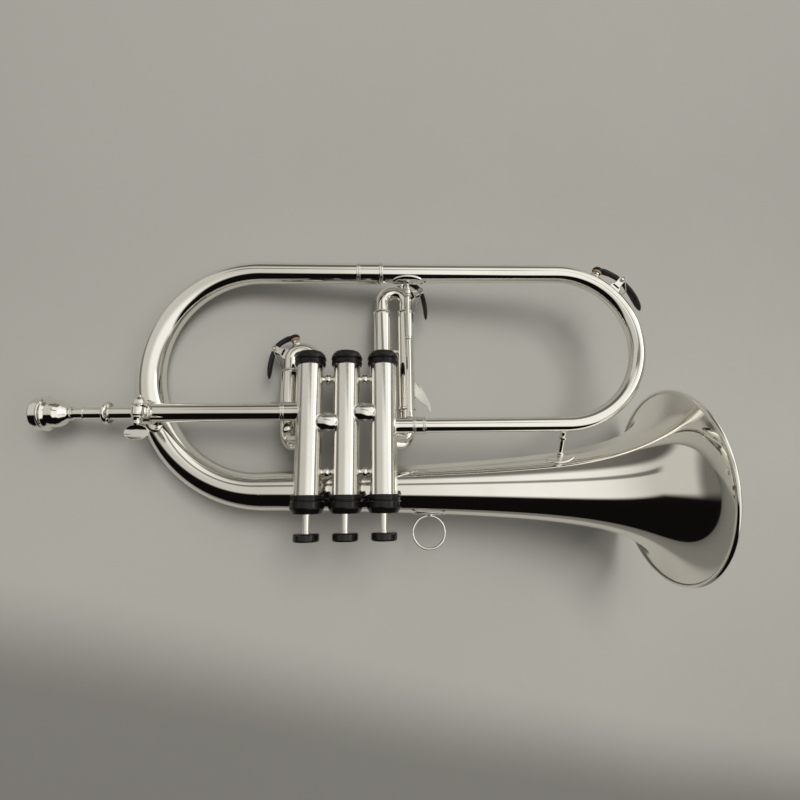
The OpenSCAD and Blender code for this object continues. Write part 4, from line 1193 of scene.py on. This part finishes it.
def key_wire(prefix, piece, k, body, hook):
    """Spring: a coil round the pivot screw on each side and a hooked arm to the tube."""
    place, pivot = key_place(k), k[4]
    shell = Shell()
    hx, hy = hook
    for s in (-1, 1):
        z = s * 4.5
        pts = []
        for j in range(49):
            a = 2 * math.pi * 1.0 * j / 48
            pts.append((1.55 * math.cos(a), pivot + 1.55 * math.sin(a), z))
        ring = np.array([place(*p) for p in pts[:-1]])
        c, sn = circle(12)
        rows = []
        mid = place(0, pivot, z)
        zz = place(0, 0, 1) - place(0, 0, 0)
        for p in ring:
            out = unit(p - mid)
            rows.append(p + 0.35 * (c[:, None] * out + sn[:, None] * zz))
        shell.grid(rows, loop_rows=True)
        arm = bezier([(1.55, pivot, z), (1.55 + (hx - 1.55) * 0.5, pivot + (hy - pivot) * 0.42, z),
                      (hx - 0.4, hy + 1.6, z), (hx, hy + 0.5, z * 0.96), (hx + 0.1, hy, z * 0.7),
                      (hx + 0.1, hy, 0)], 8)
        wire(np.array([place(*p) for p in arm]), 0.3, 10, shell)
    finish_piece(shell, piece, body, steel, prefix)


build_bell()
build_rear_bow()
branch_radius = build_front_branch()
build_ferrules()
build_leadpipe()
build_clamp()
build_thumbscrew()
build_mouthpipe()
build_mouthpiece()
build_caps()
for index in range(3):
    build_moving_valve(index)
build_passages()
build_side_slide(1, 0, -1, "slide_1_sleeves")
build_side_slide(3, 2, 1, "slide_3_sleeves")
build_slide_2()
build_slide_brace()
build_return_stay()
build_bell_stay()
build_leadpipe_stay()
build_valve_bell_stays()
build_finger_ring()
build_hook()

SLIDE_BEND = LEG_GAP / 2 + INNER_R
SLIDE_X = box("slide_3_crook")[1][0] - SLIDE_BEND
TURN_1 = box("slide_1_crook")[1][1] - SLIDE_BEND
TURN_3 = box("slide_3_crook")[1][1] - SLIDE_BEND
KEYS = [
    ("water_key_1", "slide_1_water_key", (vec(-SLIDE_X, TURN_1, -SLIDE_Z), SLIDE_BEND, 66, 46,
     9, True), INNER_R, "slide_1", "water_key_1", (23.4, 2.8), (10, -1.2)),
    ("water_key_3", "slide_3_water_key", (vec(SLIDE_X, TURN_3, -SLIDE_Z), SLIDE_BEND, 66, 46,
     9, False), INNER_R, "slide_3", "water_key_3", (23.4, 2.8), (10, -1.2)),
    ("front_key", "front_bow_water_key", (vec(FRONT_X, EXIT_Y + FRONT_R, 0), FRONT_R + 6.5,
     45, 15, 9.6, False), 6.5, "horn", "front_water_key", (26.6, 0.9), (8, 1.6))]
for prefix, piece, key, tube_r, body, lever, tail, hook in KEYS:
    key_parts(prefix, piece, key, tube_r, body, lever, tail)
    key_wire(f"{prefix}_spring", f"{piece}_spring", key, body, hook)

for name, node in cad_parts.items():
    if node.hide_render:
        continue
    node.data.materials.clear()
    node.data.materials.append(monel if "piston" in name else turned)


# ---------- stage, light and camera ----------

BACK = vec(-0.035037, -0.214465, 0.976103)
RIGHT = vec(0.999362, -0.014336, 0.032722)
UP = np.cross(BACK, RIGHT)
EYE = vec(-226.308, -10.889, 371.405)


def build_camera():
    cam = bpy.data.objects.new("camera", bpy.data.cameras.new("camera"))
    bpy.context.scene.collection.objects.link(cam)
    rot = Matrix((RIGHT, UP, BACK)).transposed().to_4x4()
    cam.matrix_world = Matrix.Translation(Vector(EYE * MM)) @ rot
    cam.data.lens = 21.186
    cam.data.sensor_width = 36.0
    cam.data.clip_start = 0.01
    bpy.context.scene.camera = cam


class Field:
    """Small sums over shader values, for the brightness of the room in each direction."""

    def __init__(self, nt):
        self.nt = nt

    def op(self, kind, a, b=0.0, c=0.0, clamp=False):
        node = self.nt.nodes.new("ShaderNodeMath")
        node.operation = kind
        node.use_clamp = clamp
        for socket, value in zip(node.inputs, (a, b, c)):
            if isinstance(value, (int, float)):
                socket.default_value = value
            else:
                self.nt.links.new(value, socket)
        return node.outputs[0]

    def step(self, value, lo, hi):
        """0 below lo and 1 above hi, with a soft edge between; hi may be below lo."""
        node = self.nt.nodes.new("ShaderNodeMapRange")
        node.interpolation_type = "SMOOTHSTEP"
        for key, number in (("From Min", min(lo, hi)), ("From Max", max(lo, hi)),
                            ("To Min", float(lo > hi)), ("To Max", float(lo < hi))):
            node.inputs[key].default_value = number
        self.nt.links.new(value, node.inputs["Value"])
        return node.outputs["Result"]

    def along(self, source, direction):
        node = self.nt.nodes.new("ShaderNodeVectorMath")
        node.operation = "DOT_PRODUCT"
        node.inputs[1].default_value = tuple(unit(direction))
        self.nt.links.new(source, node.inputs[0])
        return node.outputs["Value"]


def resting_plane():
    """Unit normal and lowest point of the plane the horn settles on, lying on its side."""
    points, centres, areas = [], [], []
    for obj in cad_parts.values():
        mesh, world = obj.data, np.array(obj.matrix_world)
        co = np.empty(len(mesh.vertices) * 3)
        mesh.vertices.foreach_get("co", co)
        points.append(co.reshape(-1, 3) @ world[:3, :3].T + world[:3, 3])
        mid, size = np.empty(len(mesh.polygons) * 3), np.empty(len(mesh.polygons))
        mesh.polygons.foreach_get("center", mid)
        mesh.polygons.foreach_get("area", size)
        centres.append(mid.reshape(-1, 3) @ world[:3, :3].T + world[:3, 3])
        areas.append(size)
    points, areas = np.vstack(points) / MM, np.concatenate(areas)
    weight = (np.vstack(centres) * areas[:, None]).sum(0) / areas.sum() / MM
    points = points[points[:, 2] < weight[2] + 10][::3]
    best, span, at = (1e9, None), 0.4, np.array([0.0, 0.0])
    for _ in range(4):
        for a in np.linspace(-span, span, 17):
            for b in np.linspace(-span, span, 17):
                n = unit(vec(at[0] + a, at[1] + b, 1))
                height = weight @ n - (points @ n).min()
                if height < best[0]:
                    best = (height, (at[0] + a, at[1] + b))
        at, span = np.array(best[1]), span / 6
    n = unit(vec(at[0], at[1], 1))
    return n, (points @ n).min()


def build_floor():
    normal, lowest = resting_plane()
    side = unit(RIGHT - normal * (RIGHT @ normal))
    up = np.cross(normal, side)
    centre = vec(-226, 0, 0)
    centre = centre - normal * (centre @ normal - lowest + 0.3)
    n, size = 60, 6000.0
    verts = [tuple((centre + side * (i / n - 0.5) * size + up * (j / n - 0.5) * size) * MM)
             for i in range(n + 1) for j in range(n + 1)]
    faces = [(a, a + n + 1, a + n + 2, a + 1)
             for i in range(n) for a in range(i * (n + 1), i * (n + 1) + n)]
    mesh = bpy.data.meshes.new("floor")
    mesh.from_pydata(verts, [], faces)
    floor = bpy.data.objects.new("floor", mesh)
    bpy.context.scene.collection.objects.link(floor)
    m, nt, bsdf = new_material("floor_paper")
    tone = ramp(nt, noise(nt, 2.2, 3.0), [(0.3, (0.352, 0.346, 0.322)),
                                          (0.7, (0.372, 0.366, 0.342))])
    f = Field(nt)
    coord = nt.nodes.new("ShaderNodeTexCoord").outputs["Object"]
    # Painted shadow and painted shade in the floor colour: the base colour is halved towards the lower left,
    # past a soft noisy edge, and darkened by a fifth towards the top.
    low = f.op("MULTIPLY_ADD", noise(nt, 1.6, 2.0), 0.05, f.along(coord, UP + RIGHT * 0.31))
    painted_shade = f.op("MULTIPLY_ADD", f.step(low, -0.185, -0.275), -0.50, 1.0)
    painted_top_shade = f.op("MULTIPLY_ADD", f.step(f.along(coord, UP - RIGHT * 0.12), -0.05, 0.3), -0.2, 1.0)
    painted_shade = f.op("MULTIPLY", painted_shade, painted_top_shade)
    mix = nt.nodes.new("ShaderNodeVectorMath")
    mix.operation = "SCALE"
    nt.links.new(tone, mix.inputs[0])
    nt.links.new(painted_shade, mix.inputs["Scale"])
    nt.links.new(mix.outputs[0], bsdf.inputs["Base Color"])
    nt.links.new(remap(nt, noise(nt, 40.0, 3.0), 0.82, 0.95), bsdf.inputs["Roughness"])
    bump(nt, bsdf, noise(nt, 700.0, 3.0), 5e-5)
    behind = nt.nodes.new("ShaderNodeNewGeometry").outputs["Backfacing"]
    mixer = nt.nodes.new("ShaderNodeMixShader")
    out = [node for node in nt.nodes if node.type == "OUTPUT_MATERIAL"][0]
    nt.links.new(behind, mixer.inputs[0])
    nt.links.new(bsdf.outputs[0], mixer.inputs[1])
    nt.links.new(nt.nodes.new("ShaderNodeBsdfTransparent").outputs[0], mixer.inputs[2])
    nt.links.new(mixer.outputs[0], out.inputs[0])
    mesh.materials.append(m)


def area(name, at, target, size, size_y, power, colour=(1, 1, 1)):
    light = bpy.data.lights.new(name, "AREA")
    light.shape = "RECTANGLE"
    light.size, light.size_y = size * MM, size_y * MM
    light.energy = power
    light.color = colour
    obj = bpy.data.objects.new(name, light)
    bpy.context.scene.collection.objects.link(obj)
    obj.visible_glossy = False
    obj.location = Vector(at * MM)
    obj.rotation_euler = Vector((target - at) * MM).to_track_quat("-Z", "Y").to_euler()
    return obj


def build_room():
    """Room seen in the plating: pale ceiling, a lamp to the right, darkness on the low side."""
    world = bpy.data.worlds.new("room")
    bpy.context.scene.world = world
    world.use_nodes = True
    nt = world.node_tree
    nt.nodes.clear()
    out = nt.nodes.new("ShaderNodeOutputWorld")
    back = nt.nodes.new("ShaderNodeBackground")
    nt.links.new(back.outputs[0], out.inputs[0])
    coord = nt.nodes.new("ShaderNodeTexCoord").outputs["Generated"]
    f = Field(nt)
    rx, ry = f.along(coord, RIGHT), f.along(coord, UP)
    wide = f.op("ABSOLUTE", rx)
    lean = f.op("MINIMUM", f.op("MAXIMUM", rx, -0.34), 0.32)
    edge = f.op("MULTIPLY_ADD", lean, 0.62, ry)
    ceiling = f.step(edge, -0.40, -0.24)
    ceiling = f.op("MULTIPLY", ceiling, f.op("MULTIPLY_ADD", f.step(rx, -0.3, 0.25), 0.38, 0.56))
    ceiling = f.op("MULTIPLY", ceiling, f.op("MULTIPLY_ADD", f.step(wide, 0.78, 0.93), -0.72, 1.0))
    ceiling = f.op("MULTIPLY", ceiling, f.op("MULTIPLY_ADD", f.step(ry, 0.76, 0.9), -0.82, 1.0))
    lamp = f.op("MULTIPLY", f.step(rx, 0.73, 0.78), f.step(rx, 0.92, 0.88))
    lamp = f.op("MULTIPLY", lamp, f.op("MULTIPLY", f.step(ry, 0.0, 0.1), f.step(ry, 0.6, 0.5)))
    beam = f.op("ABSOLUTE", f.op("ADD", f.op("MULTIPLY_ADD", rx, 0.25, ry), -0.53))
    beam = f.op("MULTIPLY", f.step(beam, 0.1, 0.03), f.step(wide, 0.42, 0.28))
    ceiling = f.op("MULTIPLY", ceiling, f.op("MULTIPLY_ADD", beam, -0.72, 1.0))
    level = f.op("ADD", f.op("MULTIPLY_ADD", lamp, 1.1, ceiling), 0.004)
    tint = ramp(nt, f.op("MULTIPLY", level, 1.0, clamp=True),
                [(0.0, (1.0, 0.93, 0.84)), (0.25, (1.0, 0.955, 0.86)), (0.9, (1.0, 0.985, 0.93))])
    nt.links.new(tint, back.inputs["Color"])
    seen = nt.nodes.new("ShaderNodeLightPath").outputs["Is Camera Ray"]
    plain = f.op("SUBTRACT", 0.36, level)
    nt.links.new(f.op("MULTIPLY_ADD", seen, plain, level), back.inputs["Strength"])


def build_light():
    centre = vec(-226, 0, 0)
    area("key", centre + BACK * 1500 + UP * 800 + RIGHT * 450, centre, 800, 800, 25,
         (1.0, 0.985, 0.955))


build_camera()
build_floor()
build_room()
build_light()
bpy.context.scene.view_settings.view_transform = "Standard"
